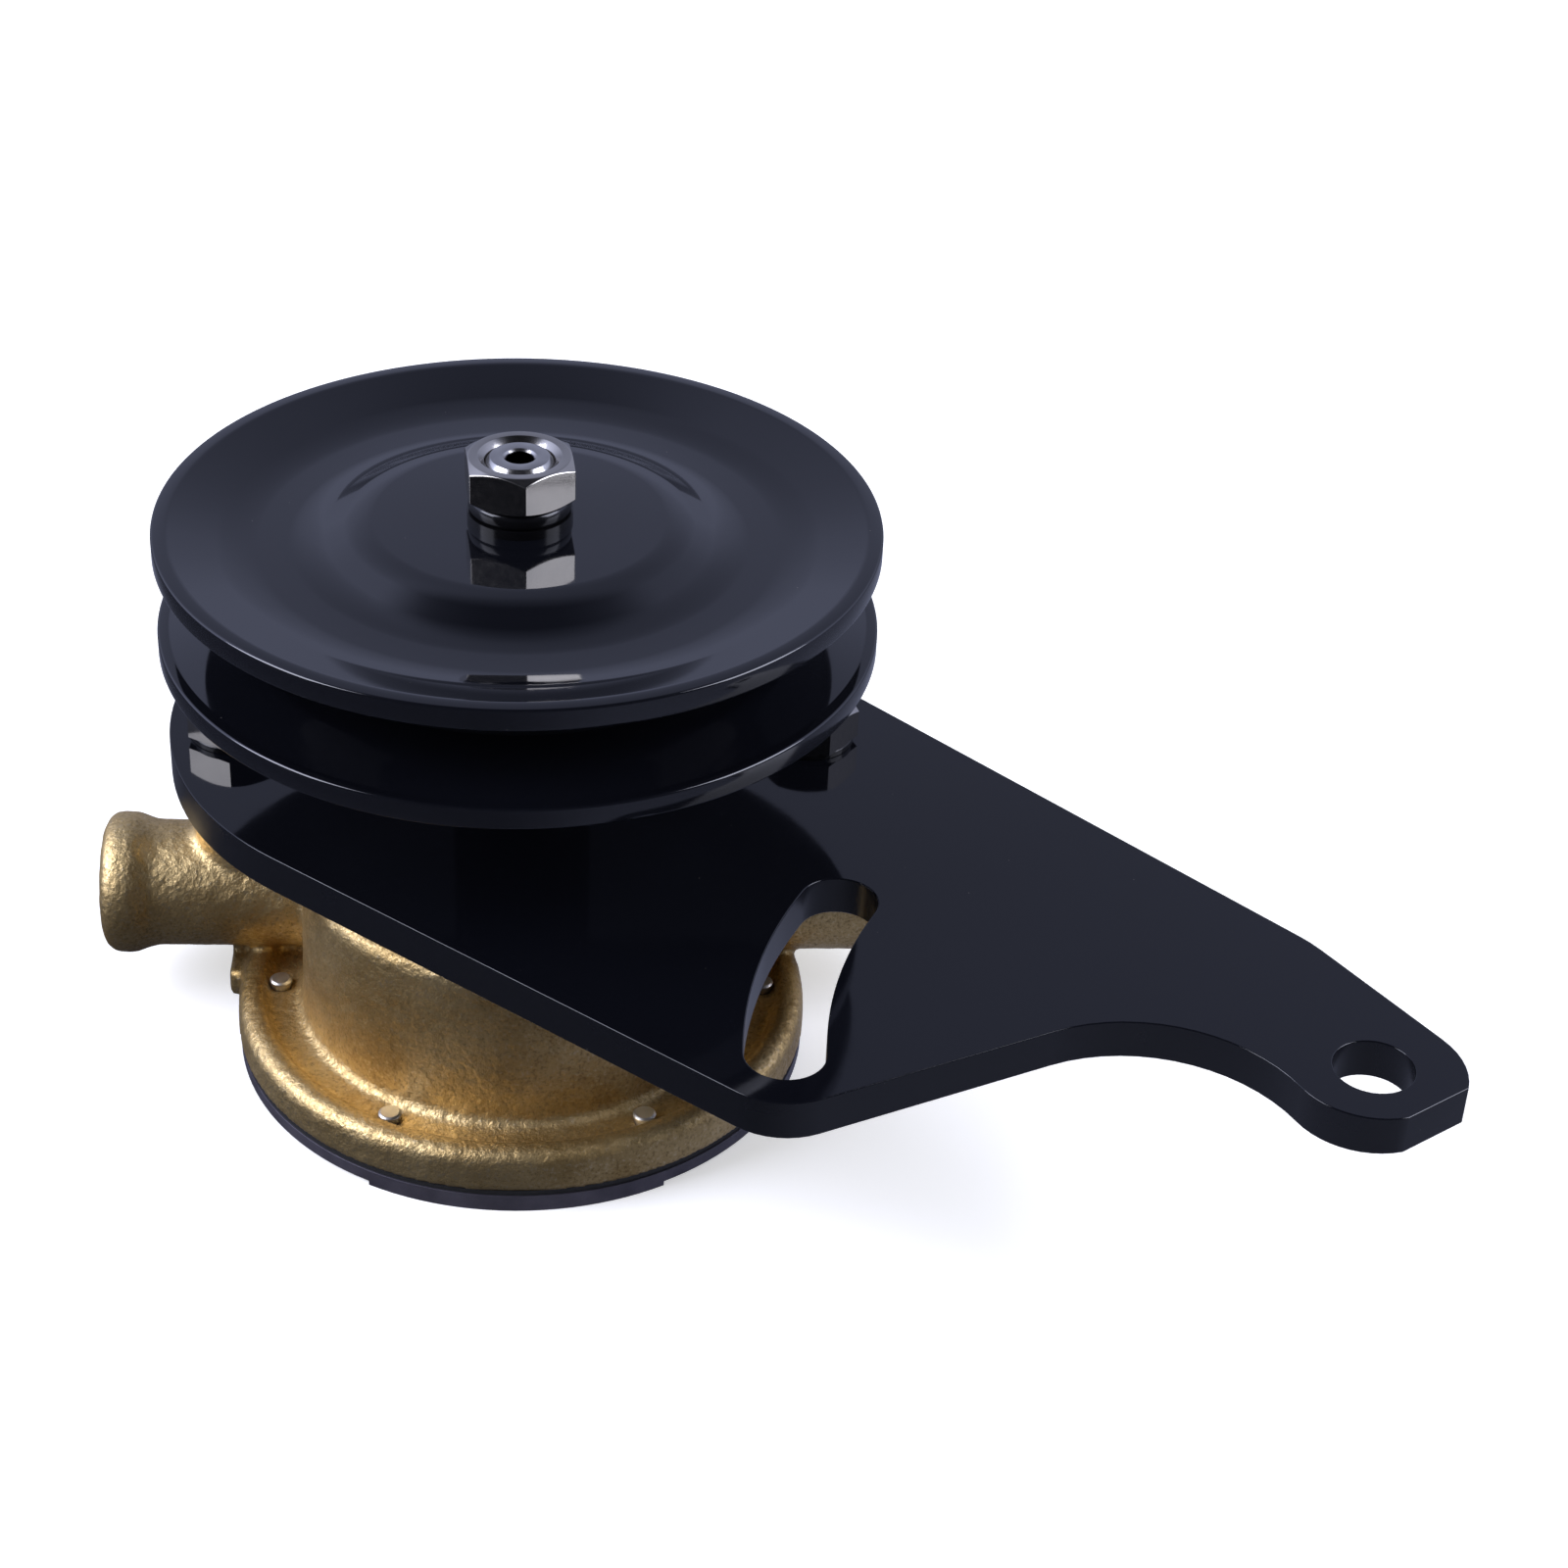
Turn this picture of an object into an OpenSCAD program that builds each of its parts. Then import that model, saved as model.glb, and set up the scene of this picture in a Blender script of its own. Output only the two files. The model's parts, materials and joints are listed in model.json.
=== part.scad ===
// Belt-driven engine water pump with a flexible rubber impeller.
// A bronze casting holds the impeller, the seals and two ball bearings, a flat steel
// bracket with a curved slot holds and adjusts the pump, and a V-belt pulley drives it.
// The shaft is the Z axis, the two hose ports lie along X, and z = 0 is the lowest face
// of the end cover, on which the pump stands.

/* [Pulley] */
// Outer radius of both pulley rims
pulley_r = 82.55; // [77:0.05:88]
// Thickness of the front pressed disc
front_disc_t = 5.3; // [4.8:0.1:5.8]
// Thickness of the rear pressed disc
rear_disc_t = 5.2; // [4.2:0.1:5.4]
// Gap between the two rims at their edges
groove_gap = 19.2; // [17:0.1:20]
// Slope of each groove wall from the radial plane
groove_slope = 18; // [16:0.5:20]
// Width of the flat lip along each rim
lip_w = 3.4; // [2.5:0.1:4.5]
// Depth of the dish between the lip and the valley
dish_d = 5.0; // [4:0.1:5.6]
// Outer radius of the raised middle of the front disc
plateau_r = 36.5; // [32:0.5:38]
// Radius at which the raised middle meets the valley
plateau_foot_r = 48; // [46:0.5:52]
// Height of the raised middle above the lip
plateau_rise = 0.4; // [0:0.1:1.5]
// Outer radius of the ring that closes the groove
groove_floor_r = 61.5; // [58:0.5:62]
// Wall of the ring that closes the groove
groove_ring_t = 4.5; // [3:0.5:6]
// Outer radius of the pulley hub
hub_r = 16.5; // [14:0.5:18]

/* [Shaft] */
// Radius of the pump shaft
shaft_r = 7.94; // [7.5:0.02:8.4]
// Width of the nut across its flats
nut_af = 23.8; // [22:0.1:25]
// Height of the nut
nut_h = 9.5; // [8:0.1:12]
// Thickness of the flat washer on the pulley
flat_washer_t = 2; // [1.5:0.1:3]
// Thickness of the lock washer under the nut
lock_washer_t = 3.9; // [3:0.1:4.5]
// Outer radius of both washers under the nut
nut_washer_r = 12; // [11.5:0.1:14]
// Width of the two square keys
key_w = 4.76; // [4:0.02:5]

/* [Bracket] */
// Thickness of the bracket plate
bracket_t = 9.5; // [8:0.1:11]
// Place of the pivot hole across the pump
pivot_x = 184.3; // [176:0.1:192]
// Place of the pivot hole towards the front
pivot_y = -108.8; // [-114:0.1:-104]
// Radius of the pivot hole
pivot_hole_r = 8.9; // [8:0.1:9.5]
// Radius of the eye round the pivot hole, on its front side
pivot_eye_r = 18; // [17:0.1:19]
// Radius of the eye on its outer side
pivot_out_r = 19; // [18.5:0.1:20]
// Distance from the pivot hole's centre to the straight cut across the eye's corner
pivot_cut = 16.4; // [15.5:0.1:17]
// Distance of the slot's centre line from the pivot
slot_swing_r = 126; // [124:0.5:130]
// Half width of the adjusting slot
slot_half_w = 8.9; // [8:0.1:9.5]
// Plate left round the lower end of the slot
slot_wall = 8; // [7:0.1:10]
// Radius of the concave bite between slot and pivot
bite_r = 38.1; // [34:0.1:40]
// Radius of the round left end of the plate
left_end_r = 80.5; // [80:0.5:88]
// Radius of the two rear corners of the plate
rear_corner_r = 20; // [15:0.5:25]

/* [Bracket bolts] */
// Distance of each bracket bolt from the shaft, across the pump
bolt_x = 69.7; // [69:0.1:72]
// Radius of the bracket bolt shanks
bolt_r = 6.35; // [5.5:0.05:6.5]
// Width of the bolt heads across flats
bolt_af = 21; // [19:0.1:22]
// Height of the bolt heads
bolt_head_h = 7.8; // [6:0.1:9]
// Thickness of the lock washers under the bolt heads
bolt_washer_t = 1.6; // [1.4:0.1:3]

/* [Body casting] */
// Radius of the round flange at the bottom
flange_r = 70.3; // [69:0.1:75]
// Height of the raised outer rim of the flange
flange_rim_h = 10.5; // [9.5:0.1:12]
// Height of the channel floor in the flange
flange_floor_h = 7.3; // [6:0.1:8]
// Radius of the drum where it rises from the flange
drum_base_r = 54.2; // [53.8:0.1:55]
// Radius of the drum at its shoulder
drum_top_r = 53; // [52.5:0.1:53.6]
// Height of the drum above the flange's lower face
drum_h = 50.2; // [49:0.1:54]
// Height of the hose ports above the flange's lower face
port_h = 24.1; // [23.8:0.1:26]
// Distance of the hose ports behind the shaft
port_y = 20; // [18:0.1:22]
// Distance from the shaft to the end of each hose port
port_reach = 104.2; // [98:0.1:112]
// Outer radius of the hose ports
port_r = 15.75; // [15:0.05:16.5]
// Bore radius of the hose ports
port_bore_r = 12.5; // [11.5:0.1:13]
// Radius of the bead round the end of each port
bead_r = 17.7; // [17:0.1:18.2]
// Length of the bead along the port
bead_l = 8; // [7.5:0.1:11]

/* [Cover] */
// Radius of the end cover
cover_r = 69.9; // [66:0.1:70.2]
// Thickness of the end cover at its edge
cover_t = 3.2; // [3:0.1:5]
// Height of the three feet under the end cover
cover_foot_h = 1.2; // [0.6:0.1:2]
// Thickness of the gasket
gasket_t = 1.4; // [0.5:0.1:1.6]
// Radius of the circle of cover screws
screw_circle_r = 59.9; // [59:0.1:60.5]
// Radius of the cover screws
screw_r = 2.45; // [2:0.05:2.7]

/* [Impeller chamber] */
// Radius of the impeller chamber
chamber_r = 48; // [47:0.1:48.5]
// Depth of the impeller chamber
chamber_h = 31.8; // [31:0.1:33]
// Number of impeller vanes
vane_count = 12; // [9:1:12]
// Thickness of an impeller vane
vane_t = 3.6; // [3:0.1:4.5]
// How far the cam stands into the chamber
cam_rise = 6.5; // [4:0.1:8]

/* [Bearings] */
// Outer radius of both ball bearings
bearing_r = 17.46; // [17:0.02:18]
// Width of each ball bearing
bearing_w = 7.14; // [7:0.01:7.2]
// Radius of the bearing balls
ball_r = 2.38; // [2.2:0.02:2.5]
// Number of balls in each bearing
ball_count = 9; // [7:1:10]
// Wall of the casting round the bearings
bearing_wall = 10; // [8:0.1:12]

/* [Hidden] */
$fn = 96;

// Clearances and small sizes shared by several pieces
cut = 1;
seat_gap = 0.04;
running_gap = 0.05;
arc_steps = 6;
right = 90;
turn = 360;
half_turn = 180;
front_angle = -90;

// Colours as the photograph shows them
bronze = [0.60, 0.49, 0.29];
black_paint = [0.14, 0.14, 0.17];
dark_steel = [0.27, 0.27, 0.31];
bright_steel = [0.78, 0.79, 0.81];
black_finish = [0.10, 0.10, 0.11];
rubber = [0.12, 0.12, 0.12];
brass = [0.75, 0.62, 0.33];
stainless = [0.66, 0.67, 0.68];

// Levels along the shaft, from the cover up
cover_top = cover_foot_h + cover_t;
casting_z = cover_top + gasket_t;
floor_z = casting_z + flange_floor_h;
rim_z = casting_z + flange_rim_h;
port_z = casting_z + port_h;
ceiling_z = casting_z + chamber_h;
drum_z = casting_z + drum_h;

// Wear plate, seals and bearings, stacked above the chamber
wear_t = 1.2;
wear_z = ceiling_z - wear_t;
seal_r = 15;
seal_w = 3.6;
seal_face_gap = 0.3;
inner_seal_z = ceiling_z + seal_face_gap;
outer_seal_z = inner_seal_z + seal_w + seal_face_gap;
weep_h = 4;
bearing_z = outer_seal_z + seal_w + weep_h;
upper_bearing_z = bearing_z + bearing_w;
bearing_top_z = upper_bearing_z + bearing_w;
weep_r = 1.8;
weep_z = outer_seal_z + seal_w + weep_h / 2;
slinger_t = 1.4;
slinger_r = 12;
slinger_z = outer_seal_z + seal_w + seal_face_gap;
circlip_t = 1.2;
circlip_w = 2.6;
circlip_bite = 1.1;

// Bracket levels: the bearing housing and the two bosses carry the plate
housing_r = bearing_r + bearing_wall;
collar_h = 9.5;
bracket_z = drum_z + collar_h;
bracket_top_z = bracket_z + bracket_t;

// Shaft stack above the bearings, up to the nut
spacer_h = 14.88;
spacer_r = 10.4;
plate_hole_gap = 2.6;
hub_z = bearing_top_z + spacer_h;
hub_h = 62.54;
plateau_under_z = hub_z + hub_h;
plateau_z = plateau_under_z + front_disc_t;
lip_z = plateau_z - plateau_rise;
front_rim_z = lip_z - front_disc_t;
rear_rim_top_z = front_rim_z - groove_gap;
rear_rim_z = rear_rim_top_z - rear_disc_t;
front_valley_z = front_rim_z - dish_d;
rear_web_top_z = rear_rim_top_z + dish_d;
flat_washer_z = plateau_z;
lock_washer_z = flat_washer_z + flat_washer_t;
nut_z = lock_washer_z + lock_washer_t;
nut_top_z = nut_z + nut_h;
shaft_below_nut_top = 0.3;

// Dished disc: radii of the lip, the valley and the wall between them
lip_in_r = pulley_r - lip_w;
valley_out_r = lip_in_r - dish_d / tan(groove_slope);
lip_round = 3;
valley_round = 30;
plateau_round = 16;
plateau_foot_round = 20;
rim_edge_round = 0.6;

// Impeller
impeller_side_gap = 0.3;
impeller_z = cover_top + impeller_side_gap;
impeller_h = wear_z - impeller_side_gap - impeller_z;
impeller_core_r = 24;
insert_r = 13;
insert_recess = 0.6;
vane_tip_r = 2.4;
vane_tip_gap = 0.25;
vane_steps = 7;
vane_lean = 7;
bent_lean = 9;
cam_half_angle = 47;
cam_step = 3;
cam_seat_gap = 0.05;

// Bracket outline. The plate's left end is one large arc about this point.
left_end_x = -5.7;
left_end_y = 28.6;
rear_corner_y = 42;
right_corner_x = 53.1;
shoulder_x = 155.3;
shoulder_y = -82.4;
shoulder_r = 30;
slot_upper_angle = 151.9;
slot_lower_angle = 178.25;
slot_corner_r = slot_half_w + slot_wall;
eye_shift = 0.6;
eye_rise = 0.4;
out_shift = 1.1;
out_drop = 0.6;
eye_x = pivot_x - eye_shift;
eye_y = pivot_y + eye_rise;
bite_x = 132.7;
bite_y = eye_y - sqrt(pow(bite_r + pivot_eye_r, 2) - pow(eye_x - bite_x, 2));
pivot_cut_angle = -56.5;

// Points and outlines

function unit(v) = v / norm(v);
function polar(r, a) = [r * cos(a), r * sin(a)];
function angle_of(v) = atan2(v[1], v[0]);

// Arc of radius r that rounds the corner p between its neighbours a and b.
function corner_arc(a, p, b, r) =
    let (
        u = unit(a - p),
        v = unit(b - p),
        half = acos(max(-1, min(1, u * v))) / 2,
        centre = p + unit(u + v) * r / sin(half),
        first = p + u * r / tan(half),
        last = p + v * r / tan(half),
        a0 = angle_of(first - centre),
        swing = ((angle_of(last - centre) - a0 + turn + half_turn) % turn) - half_turn
    )
    [for (i = [0 : arc_steps]) centre + polar(r, a0 + swing * i / arc_steps)];

// Outline through the corners [x, y, radius], each rounded to its own radius.
function rounded(corners) = [
    for (i = [0 : len(corners) - 1])
        let (
            n = len(corners),
            before = corners[(i + n - 1) % n],
            here = corners[i],
            after = corners[(i + 1) % n],
            p = [here[0], here[1]]
        )
        each here[2] == 0
            ? [p]
            : corner_arc([before[0], before[1]], p, [after[0], after[1]], here[2])
];

// The two ends of the outer tangent of circle a then circle b, [x, y, radius] each,
// with both circles on the left of the line.
function tangent(a, b) =
    let (
        d = [b[0] - a[0], b[1] - a[1]],
        rise = max(-1, min(1, (a[2] - b[2]) / norm(d))),
        n = angle_of(d) - acos(rise)
    )
    [[a[0], a[1]] + polar(a[2], n), [b[0], b[1]] + polar(b[2], n)];

module tube(outer, inner, h) {
    difference() {
        cylinder(r = outer, h = h);
        translate([0, 0, -cut]) cylinder(r = inner, h = h + 2 * cut);
    }
}

bevel_angle = 30;

module hex_prism(af, h, both_ends) {
    // the corners are turned down to a shallow cone, on a nut at both ends
    corner_r = af / sqrt(3);
    bevel = (corner_r - af / 2) * tan(bevel_angle);
    low = both_ends ? bevel : 0;
    intersection() {
        cylinder(r = corner_r, h = h, $fn = 6);
        rotate_extrude() polygon([
            [0, 0],
            [both_ends ? af / 2 : corner_r, 0],
            [corner_r, low],
            [corner_r, h - bevel],
            [af / 2, h],
            [0, h]
        ]);
    }
}

screw_count = 6;

module at_screws() {
    for (i = [0 : screw_count - 1])
        rotate([0, 0, i * turn / screw_count]) translate([screw_circle_r, 0, 0]) children();
}

module at_bracket_bolts() {
    for (side = [-1, 1]) translate([side * bolt_x, port_y, 0]) children();
}

// Body casting

housing_round = 2;
rim_wall = 0.3;
rim_crest_w = 6.3;
rim_flat_r = flange_r - rim_crest_w;
rim_toe = 1.2;
rim_round = 4;
rim_inner_round = 1.6;
channel_round = 1.5;
base_round = 3;
shoulder_round = 5;

module casting_outside() {
    rotate_extrude()
    polygon(rounded([
        [0, casting_z, 0],
        [flange_r, casting_z, 0],
        [flange_r - rim_wall, rim_z, rim_round],
        [rim_flat_r, rim_z, rim_inner_round],
        [rim_flat_r - rim_toe, floor_z, channel_round],
        [drum_base_r, floor_z, base_round],
        [drum_top_r, drum_z, shoulder_round],
        [housing_r, drum_z, housing_round],
        [housing_r, bracket_z, 0],
        [0, bracket_z, 0]
    ]));
}

port_inset = 5;
port_start = drum_top_r / 2;
port_root = drum_top_r - port_inset;
bead_neck = 4.5;
bead_neck_round = 8;
bead_end_round = 5;
mouth_wall = bead_r - port_bore_r;

module port_outside() {
    // the tube with its rounded hose bead, drawn along Z and laid along X
    rotate([0, right, 0])
    rotate_extrude()
    polygon(rounded([
        [0, port_start, 0],
        [port_r, port_start, 0],
        [port_r, port_reach - bead_l - bead_neck, bead_neck_round],
        [bead_r, port_reach - bead_l, bead_neck_round],
        [bead_r, port_reach, bead_end_round < mouth_wall ? bead_end_round : mouth_wall / 2],
        [0, port_reach, 0]
    ]));
}

boss_wall = 5;
boss_r = bolt_r + boss_wall;
boss_rib_w = 8;
boss_rib_drop = 6;
port_web_w = 10.4;
gate_t = 3;
gate_l = 19;
gate_h = 7.2;
gate_round = 1.4;
gate_front_y = port_y - port_r;

module port_carrier(side) {
    // tube, bracket boss, the rib between boss and drum, and the web below the tube
    translate([0, port_y, port_z]) scale_side(side) port_outside();
    translate([side * bolt_x, port_y, port_z]) cylinder(r = boss_r, h = bracket_z - port_z);
    translate([side > 0 ? port_root : -bolt_x, port_y - boss_rib_w / 2, port_z])
        cube([bolt_x - port_root, boss_rib_w, drum_z - boss_rib_drop - port_z]);
    translate([side > 0 ? port_root : -rim_flat_r, port_y - port_web_w / 2, floor_z - cut])
        cube([rim_flat_r - port_root, port_web_w, port_z - floor_z]);
    if (side < 0) gate_stub();
}

module scale_side(side) {
    if (side > 0) children();
    else mirror([1, 0, 0]) children();
}

module gate_stub() {
    // the cut-off casting gate on the flange's left edge
    inner_x = flange_r - gate_t;
    scale_side(-1)
    translate([inner_x, gate_front_y, casting_z])
    rotate([right, 0, right])
    linear_extrude(height = 2 * gate_t)
    polygon(rounded([
        [0, 0, gate_round],
        [gate_l, 0, gate_round],
        [gate_l, gate_h, gate_round],
        [0, gate_h, gate_round]
    ]));
}

cam_screw_z = casting_z + 20.2;
cam_boss_r = 7.5;
cam_boss_out = 2.5;
cam_boss_face = drum_base_r + cam_boss_out;
cam_screw_r = 3;
cam_screw_head_r = 5;
cam_screw_head_h = 3.4;

passage_start = drum_top_r;
passage_inset = 14;
passage_end = chamber_r - passage_inset;
passage_narrow = 0.5;

module port_passages() {
    for (side = [-1, 1]) translate([0, port_y, port_z]) scale_side(side) {
        translate([passage_start, 0, 0]) rotate([0, right, 0])
            cylinder(r = port_bore_r, h = port_reach - passage_start + cut);
        intersection() {
            translate([passage_end, 0, 0]) rotate([0, right, 0])
                cylinder(r = port_bore_r - passage_narrow, h = passage_start - passage_end + cut);
            translate([0, -port_bore_r, -port_bore_r])
                cube([port_reach, 2 * port_bore_r, port_bore_r + wear_z - port_z]);
        }
    }
}

bolt_hole_gap = 0.1;
boss_hole_floor = 3.5;
boss_hole_z = port_z + port_bore_r + boss_hole_floor;
bolt_tip_gap = 2;
flange_hole_gap = 0.06;
seal_bore_gap = 0.02;

module body_casting() {
    color(bronze)
    difference() {
        union() {
            casting_outside();
            for (side = [-1, 1]) port_carrier(side);
            translate([0, 0, cam_screw_z]) rotate([-right, 0, 0])
                cylinder(r = cam_boss_r, h = cam_boss_face);
        }
        // impeller chamber, seal bore and bearing seat
        translate([0, 0, casting_z - cut]) cylinder(r = chamber_r, h = chamber_h + cut);
        translate([0, 0, ceiling_z - cut]) cylinder(r = seal_r, h = bearing_z - ceiling_z + 2 * cut);
        translate([0, 0, bearing_z]) cylinder(r = bearing_r, h = bracket_z - bearing_z + cut);
        translate([0, 0, bearing_top_z]) cylinder(r = bearing_r + circlip_bite, h = circlip_t);
        port_passages();
        // weep hole between the seals and the bearings, at the back
        translate([0, 0, weep_z]) rotate([-right, 0, 0]) cylinder(r = weep_r, h = drum_base_r + cut);
        at_screws() translate([0, 0, casting_z - cut])
            cylinder(r = screw_r + flange_hole_gap, h = flange_rim_h + 2 * cut);
        at_bracket_bolts() translate([0, 0, boss_hole_z])
            cylinder(r = bolt_r + bolt_hole_gap, h = bracket_z - boss_hole_z + cut);
        translate([0, 0, cam_screw_z]) rotate([-right, 0, 0])
            cylinder(r = cam_screw_r + bolt_hole_gap, h = cam_boss_face + cut);
    }
}

// Cover, gasket and their screws

screw_hole_gap = 0.25;
screw_tip_h = 1.2;
screw_tip_dome = 0.7;
screw_head_r = 4.6;
screw_head_h = screw_head_r - screw_r;
screw_slot_w = 1.2;
screw_slot_d = 1;
screw_sink = 0.1;
foot_disc_r = 34;
foot_half_angle = 29.8;
foot_count = 3;
gasket_inset = 0.4;

module foot_sector(middle) {
    // a wedge that reaches past the cover's edge
    reach = 2 * cover_r;
    polygon([
        [0, 0],
        polar(reach, middle - foot_half_angle),
        polar(reach, middle + foot_half_angle)
    ]);
}

module end_cover() {
    color(dark_steel)
    difference() {
        union() {
            translate([0, 0, cover_foot_h]) cylinder(r = cover_r, h = cover_t);
            cylinder(r = foot_disc_r, h = cover_foot_h + cut);
            for (i = [0 : foot_count - 1]) linear_extrude(height = cover_foot_h + cut) intersection() {
                circle(r = cover_r);
                foot_sector(front_angle + i * turn / foot_count);
            }
        }
        at_screws() {
            translate([0, 0, -cut]) cylinder(r = screw_r + screw_hole_gap, h = cover_top + 2 * cut);
            translate([0, 0, -cut]) cylinder(r = screw_head_r + screw_hole_gap, h = cut + cover_foot_h);
            translate([0, 0, cover_foot_h]) cylinder(
                r1 = screw_head_r + screw_hole_gap, r2 = screw_r + screw_hole_gap, h = screw_head_h);
        }
    }
}

module cover_gasket() {
    color(rubber)
    translate([0, 0, cover_top])
    difference() {
        cylinder(r = cover_r - gasket_inset, h = gasket_t);
        translate([0, 0, -cut]) cylinder(r = chamber_r, h = gasket_t + 2 * cut);
        at_screws() translate([0, 0, -cut])
            cylinder(r = screw_r + screw_hole_gap, h = gasket_t + 2 * cut);
    }
}

module cover_screws() {
    // countersunk screws whose tips show through the flange
    head_z = cover_foot_h + screw_sink;
    tip_z = floor_z + screw_tip_h;
    color(bright_steel)
    at_screws() difference() {
        union() {
            translate([0, 0, head_z]) cylinder(r1 = screw_head_r, r2 = screw_r, h = screw_head_h);
            translate([0, 0, head_z]) cylinder(r = screw_r, h = tip_z - screw_tip_dome - head_z);
            translate([0, 0, tip_z - screw_tip_dome])
                cylinder(r1 = screw_r, r2 = screw_r - screw_tip_dome, h = screw_tip_dome);
        }
        translate([-screw_head_r, -screw_slot_w / 2, head_z - cut])
            cube([2 * screw_head_r, screw_slot_w, cut + screw_slot_d]);
    }
}

// Cam, wear plate and seals

// Share of the cam's full height at the angle a, counted from the back of the chamber.
function cam_share(a) =
    let (off = ((a - right + turn + half_turn) % turn) - half_turn)
    abs(off) < cam_half_angle ? (1 + cos(off * half_turn / cam_half_angle)) / 2 : 0;
function chamber_at(a) = chamber_r - cam_rise * cam_share(a);

module cam_outline() {
    polygon(concat(
        [for (a = [right - cam_half_angle : cam_step : right + cam_half_angle + cam_step])
            polar(chamber_at(min(a, right + cam_half_angle)) - cam_seat_gap * 2,
                min(a, right + cam_half_angle))],
        [for (a = [right + cam_half_angle + cam_step : -cam_step : right - cam_half_angle])
            polar(chamber_r - cam_seat_gap, min(a, right + cam_half_angle))]
    ));
}

cam_thread_depth = 4.5;

module cam() {
    color(brass)
    difference() {
        translate([0, 0, impeller_z]) linear_extrude(height = impeller_h) cam_outline();
        translate([0, chamber_r - cam_thread_depth, cam_screw_z]) rotate([-right, 0, 0])
            cylinder(r = cam_screw_r + bolt_hole_gap, h = cam_thread_depth + cut);
    }
}

module cam_screw() {
    tip_y = chamber_r - cam_thread_depth + bolt_hole_gap;
    color(bright_steel)
    translate([0, tip_y, cam_screw_z]) rotate([-right, 0, 0]) difference() {
        union() {
            cylinder(r = cam_screw_r, h = cam_boss_face - tip_y + cut);
            translate([0, 0, cam_boss_face - tip_y]) cylinder(r = cam_screw_head_r, h = cam_screw_head_h);
        }
        translate([-cam_screw_head_r - cut, -screw_slot_w / 2,
            cam_boss_face - tip_y + cam_screw_head_h - screw_slot_d])
            cube([2 * (cam_screw_head_r + cut), screw_slot_w, screw_slot_d + cut]);
    }
}

wear_gap = 0.2;
wear_bore_r = seal_r - 2;

module wear_plate() {
    color(stainless)
    translate([0, 0, wear_z]) tube(chamber_r - wear_gap, wear_bore_r, wear_t);
}

seal_case_t = 1;
seal_lip_t = 1.2;

module lip_seal(z, flip) {
    // a pressed case with a rubber lip that rides on the shaft
    lip_r = shaft_r + running_gap;
    color(rubber)
    translate([0, 0, z + (flip ? seal_w : 0)]) scale_z(flip)
    rotate_extrude()
    polygon([
        [seal_r - seal_bore_gap, 0],
        [seal_r - seal_bore_gap, seal_w],
        [lip_r + 2 * seal_lip_t, seal_w],
        [lip_r, seal_w / 4],
        [lip_r, 0],
        [lip_r + seal_lip_t, 0],
        [lip_r + 3 * seal_lip_t, seal_w - seal_case_t],
        [seal_r - seal_case_t, seal_w - seal_case_t],
        [seal_r - seal_case_t, 0]
    ]);
}

module scale_z(flip) {
    if (flip) mirror([0, 0, 1]) children();
    else children();
}

module inner_lip_seal() { lip_seal(inner_seal_z, false); }
module outer_lip_seal() { lip_seal(outer_seal_z, true); }

// Bearings

pitch_r = (shaft_r + bearing_r) / 2;
race_gap = 0.04;
race_r = ball_r + race_gap;
ring_shoulder = 1.4;
bearing_chamfer = 0.5;
cage_t = 1.4;
cage_gap = 0.25;
cage_h = 5.4;

module bearing_ring(z, inner, outer) {
    // one ring with its ball groove cut by a torus
    color(bright_steel)
    translate([0, 0, z])
    rotate_extrude()
    difference() {
        polygon([
            [inner, bearing_chamfer],
            [inner + bearing_chamfer, 0],
            [outer - bearing_chamfer, 0],
            [outer, bearing_chamfer],
            [outer, bearing_w - bearing_chamfer],
            [outer - bearing_chamfer, bearing_w],
            [inner + bearing_chamfer, bearing_w],
            [inner, bearing_w - bearing_chamfer]
        ]);
        translate([pitch_r, bearing_w / 2]) circle(r = race_r);
    }
}

module inner_ring(z) {
    bearing_ring(z, shaft_r + seat_gap, pitch_r - ring_shoulder);
}

module outer_ring(z) {
    bearing_ring(z, pitch_r + ring_shoulder, bearing_r - seat_gap);
}

module at_balls(z) {
    for (i = [0 : ball_count - 1])
        rotate([0, 0, i * turn / ball_count]) translate([pitch_r, 0, z + bearing_w / 2]) children();
}

module bearing_balls(z) {
    color(bright_steel) at_balls(z) sphere(r = ball_r);
}

module bearing_cage(z) {
    color(brass)
    difference() {
        translate([0, 0, z + (bearing_w - cage_h) / 2])
            tube(pitch_r + cage_t / 2, pitch_r - cage_t / 2, cage_h);
        at_balls(z) sphere(r = ball_r + cage_gap);
    }
}

module lower_bearing_outer_ring() { outer_ring(bearing_z); }
module upper_bearing_outer_ring() { outer_ring(upper_bearing_z); }
module lower_bearing_inner_ring() { inner_ring(bearing_z); }
module upper_bearing_inner_ring() { inner_ring(upper_bearing_z); }
module lower_bearing_balls() { bearing_balls(bearing_z); }
module upper_bearing_balls() { bearing_balls(upper_bearing_z); }
module lower_bearing_cage() { bearing_cage(bearing_z); }
module upper_bearing_cage() { bearing_cage(upper_bearing_z); }

circlip_gap = 0.05;
circlip_mouth = 7;

module bearing_circlip() {
    // the ring in the housing's groove, open at the back
    color(dark_steel)
    translate([0, 0, bearing_top_z + circlip_gap]) difference() {
        tube(bearing_r + circlip_bite - circlip_gap, bearing_r - circlip_w / 2,
            circlip_t - 2 * circlip_gap);
        translate([-circlip_mouth / 2, 0, -cut])
            cube([circlip_mouth, bearing_r + circlip_w, circlip_t + 2 * cut]);
    }
}

// Mounting bracket

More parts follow.
